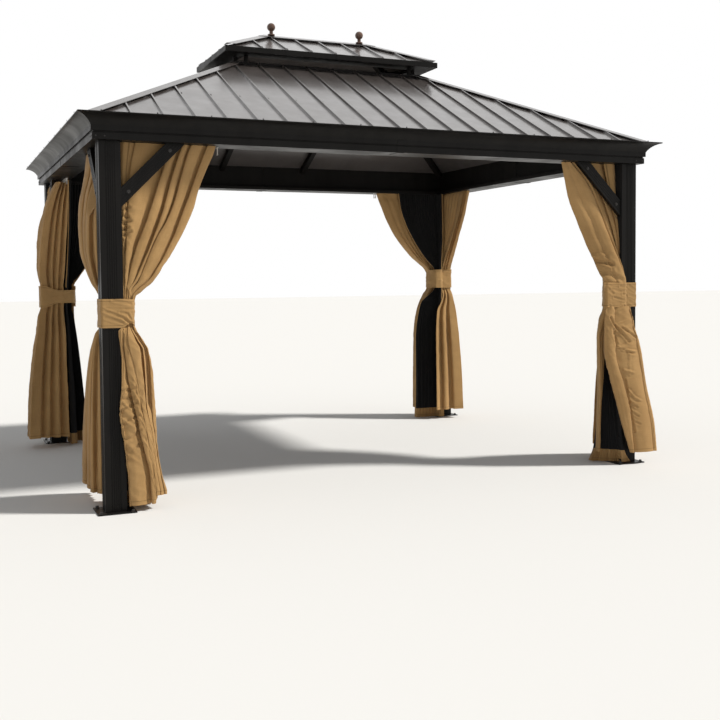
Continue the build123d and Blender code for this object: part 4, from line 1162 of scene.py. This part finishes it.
def nets():
    for seed, corner in enumerate(CORNERS):
        for along_x in (True, False):
            along, out, height = pleats(net_levels(corner, along_x), 40 + 2 * seed + along_x)
            if corner == "front_right" and along_x:
                low = np.clip(1 - height / (TIE_MIDDLE[corner] - TIE_HEIGHT[corner] / 2), 0, 1)
                near_share = 1 - along / along.max(axis=1, keepdims=True)
                along = along - NET_ASIDE * low ** 12 * near_share
                out = out + NET_FORWARD * low ** 1.5 * near_share
                out = np.where(along < CLOTH_GAP, np.maximum(out, 0.004), out)
            bound = NET_ROWS * 2 // 5 if corner == "back_left" else NET_ROWS
            kinds = np.zeros((NET_ROWS - 1, along.shape[1] - 1), int)
            kinds[-NET_HEM_ROWS:, :] = 1
            kinds[:bound, -1:] = 1
            grid = to_world(corner, along_x, along, out, height)
            hang_sheet("net_" + corner + ("_long" if along_x else "_short"), corner, along_x, grid, NET_FLAT,
                       ("far", "bottom"), "netting", "net_fabric", "curtain_fabric", kinds=kinds.ravel())


def rounded_loop(corners, radius, spacing):
    """Closed plan line with round corners, as evenly spaced points."""
    points = []
    total = len(corners)
    for i in range(total):
        here = np.array(corners[i], float)
        before = np.array(corners[i - 1], float) - here
        after = np.array(corners[(i + 1) % total], float) - here
        cut = min(radius, 0.45 * np.linalg.norm(before), 0.45 * np.linalg.norm(after))
        start = here + before / np.linalg.norm(before) * cut
        end = here + after / np.linalg.norm(after) * cut
        for t in np.linspace(0, 1, 6):
            points.append((1 - t) ** 2 * start + 2 * t * (1 - t) * here + t * t * end)
    points.append(points[0])
    points = np.array(points)
    lengths = np.concatenate([[0], np.cumsum(np.linalg.norm(np.diff(points, axis=0), axis=1))])
    count = max(24, int(lengths[-1] / spacing))
    at = np.linspace(0, lengths[-1], count, endpoint=False)
    return np.stack([np.interp(at, lengths, points[:, i]) for i in (0, 1)], axis=1), lengths[-1]


# Plan of each tie band about its post and cloth, in millimetres from the post's outer corner
BAND_PLANS = {
    "front_left": ((-5, -5), (116, -5), (181, 12), (190, 104), (176, 184), (112, 208), (16, 206), (-5, 124)),
    "front_right": ((-5, -5), (90, -6), (104, -27), (262, -25), (267, -4), (222, 62), (180, 124), (152, 172),
                    (112, 208), (16, 206), (-5, 124)),
    "back_left": ((-5, -5), (124, -5), (208, 14), (212, 112), (188, 188), (112, 218), (-62, 218), (-72, 116)),
    "back_right": ((-5, -5), (124, -5), (208, 14), (212, 112), (192, 178), (130, 186), (112, 156), (16, 154),
                   (-5, 124)),
}
# Creases of the front bands, along from the post's inner face and up
BAND_STROKES = {
    "front_left": ((7, 6, [(-116, 1141), (-58, 1118), (-11, 1099), (36, 1064)]),
                   (4, 6, [(-102, 1099), (-7, 1069)]),
                   (2, 5, [(-121, 1150), (64, 1142)]), (4, 6, [(-17, 1126), (20, 1117), (37, 1085)]),
                   (3, 6, [(-60, 1196), (40, 1172)])),
    "front_right": ((3, 6, [(34, 1236), (-30, 1226)]), (3, 7, [(100, 1216), (24, 1198), (-28, 1204)]),
                    (4, 6, [(10, 1182), (-34, 1170)]), (3, 6, [(84, 1160), (-6, 1138)]),
                    (2, 6, [(10, 1118), (-30, 1122)]), (3, 8, [(118, 1086), (120, 1100)]),
                    (3, 6, [(0, 1088), (-2, 1100)]), (3, 8, [(150, 1232), (96, 1190)]),
                    (4, 7, [(-60, 1236), (-104, 1210)]), (4, 7, [(-58, 1176), (-110, 1160)]),
                    (3, 7, [(-62, 1130), (-104, 1108)])),
}
# Where a band draws together: its height there as a share, from and to across the post's inner face
BAND_TAPER = {"back_left": (0.60, -40, 70)}
# Lift of a band's lower edge, where along, and half its width
BAND_PINCH = {"front_left": (24, 36, 26), "front_right": (6, 118, 12)}
BAND_ROWS = 36
BAND_ROUND = 14
BAND_SPACING = 3.0
BAND_SAG = 5.0             # in millimetres, where it spans the cloth
BAND_SLACK = (0.8, 3.4)    # how far it stands off, and more over the cloth
BAND_HEM = 0.009


def risen(value, middle, width):
    """Soft step from 0 to 1."""
    return 1 / (1 + np.exp(-(value - middle) / width))


def tie_bands():
    """Strips of doubled cloth round each post and its gathered curtains."""
    share = np.linspace(0, 1, BAND_ROWS)[:, None]
    for seed, corner in enumerate(CORNERS):
        rng = np.random.default_rng(70 + seed)
        loop, length = rounded_loop(BAND_PLANS[corner], BAND_ROUND, BAND_SPACING)
        columns = len(loop)
        across, away = loop.T
        ahead = np.roll(loop, -1, axis=0) - np.roll(loop, 1, axis=0)
        normal = together(ahead[:, 1], -ahead[:, 0])
        normal /= np.linalg.norm(normal, axis=1, keepdims=True)
        soft = risen(np.maximum(across, away), 130, 6)
        tall = TIE_HEIGHT[corner]
        along = across[None, :] - POST_WIDTH / MM
        front = risen(-away, -30, 5)[None, :]
        lift, pinch_at, pinch_half = BAND_PINCH.get(corner, (0, 0, 1))
        pinch = front * np.exp(-((along - pinch_at) / pinch_half) ** 2) * share ** 2
        sag = BAND_SAG * rough_field(rng, 2, columns, 1, 7)[0] * soft
        taper, low, high = BAND_TAPER.get(corner, (1, 0, 1))
        drawn = np.clip((across - low) / (high - low), 0, 1) * np.clip(away / 90 - 1, 0, 1)
        drawn = 1 - (1 - taper) * drawn * drawn * (3 - 2 * drawn)
        height = (TIE_MIDDLE[corner] + tall * (0.5 - share) * drawn[None, :]) / MM
        height = height + sag[None, :] * (0.7 - share) + lift * pinch
        wrinkle = rough_field(rng, BAND_ROWS, columns, 6, 18)
        fine = ridges(leaning_field(rng, BAND_ROWS, columns, 9, columns // 14, 1.5))
        slack = BAND_SLACK[0] + BAND_SLACK[1] * soft[None, :]
        off = slack * (0.5 * wrinkle + 0.34 * fine + 0.5) + 1.5 * np.cos(math.pi * share) ** 8
        off = off - front * pressed(along, height, BAND_STROKES.get(corner, ())) + 0.25 * lift * pinch
        plan = loop[None] + normal[None] * np.maximum(off, 0.4)[..., None]
        sx, sy = corner_signs(corner)
        points = together(sx * (POST_X - plan[..., 0] * MM), sy * (POST_Y - plan[..., 1] * MM), height * MM)
        shape = points.reshape(-1, 3), sheet_faces(BAND_ROWS, columns, sx * sy > 0, True)
        piece = make_mesh("tie_band_" + corner, shape, ("curtain_fabric",))
        hem = np.minimum(share, 1 - share) * tall + BAND_HEM
        store_places(piece, together(np.linspace(0, length * MM, columns), share * tall, hem))
        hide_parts("tie_bands")


# Stage, light and camera
FLOOR_HALF = 60.0
FLOOR_COLOUR = (0.80, 0.80, 0.79, 1)
SKY_LIGHT = 0.36           # strength of the white surroundings as light; they are seen at full strength
KEY_FROM = (0.76, -0.36, 0.82)
KEY_COLOUR = (1.0, 0.97, 0.92)
KEY_STRENGTH = 3.8
KEY_SOFTNESS = 6


def stage():
    mesh = bpy.data.meshes.new("floor")
    corners = ((-1, -1), (1, -1), (1, 1), (-1, 1))
    mesh.from_pydata([(FLOOR_HALF * x, FLOOR_HALF * y, 0) for x, y in corners], [], [(0, 1, 2, 3)])
    floor = add_object("floor", mesh)
    material, tree, shader = make_material("floor")
    fill(tree, shader, {"Base Color": FLOOR_COLOUR, "Roughness": 0.9, "Specular IOR Level": 0.1})
    mesh.materials.append(material)


def lights():
    world = bpy.data.worlds.new("studio")
    bpy.context.scene.world = world
    world.use_nodes = True
    tree = world.node_tree
    path = add_node(tree, "ShaderNodeLightPath").outputs
    seen = calculated(tree, "MAXIMUM", path["Is Camera Ray"], path["Is Glossy Ray"])
    seen = calculated(tree, "MAXIMUM", seen, path["Is Transmission Ray"])
    strength = spread(tree, seen, SKY_LIGHT, 1.0, 0.0, 1.0)
    fill(tree, tree.nodes["Background"], {"Color": (1, 1, 1, 1), "Strength": strength})
    sun = bpy.data.lights.new("key", "SUN")
    sun.energy = KEY_STRENGTH
    sun.angle = math.radians(KEY_SOFTNESS)
    sun.color = KEY_COLOUR
    key = add_object("key", sun)
    key.visible_glossy = False
    key.rotation_mode = "QUATERNION"
    key.rotation_quaternion = Vector(KEY_FROM).normalized().to_track_quat("Z", "Y")


def camera():
    data = bpy.data.cameras.new("camera")
    data.lens = CAMERA_LENS
    data.sensor_width = 36
    data.shift_x, data.shift_y = CAMERA_SHIFT
    data.clip_start, data.clip_end = 0.05, 200
    yaw, pitch, roll = (math.radians(angle) for angle in CAMERA_ANGLES)
    ahead = Vector((math.sin(yaw) * math.cos(pitch), math.cos(yaw) * math.cos(pitch), math.sin(pitch)))
    level = Vector((math.cos(yaw), -math.sin(yaw), 0))
    above = level.cross(ahead)
    right = level * math.cos(roll) + above * math.sin(roll)
    up = -level * math.sin(roll) + above * math.cos(roll)
    made = add_object("camera", data)
    turn = Matrix((right, up, -ahead)).transposed().to_4x4()
    made.matrix_world = Matrix.Translation(CAMERA_PLACE) @ turn
    bpy.context.scene.camera = made


def main():
    for step in (camera, lights, stage, dress_frame, roof_screws, cornice_screws, anchor_bolts, corner_covers,
                 ridge_hoods, brace_bolts, curtain_hooks, curtains, nets, tie_bands):
        step()
    bpy.context.scene.view_settings.view_transform = "Standard"


main()
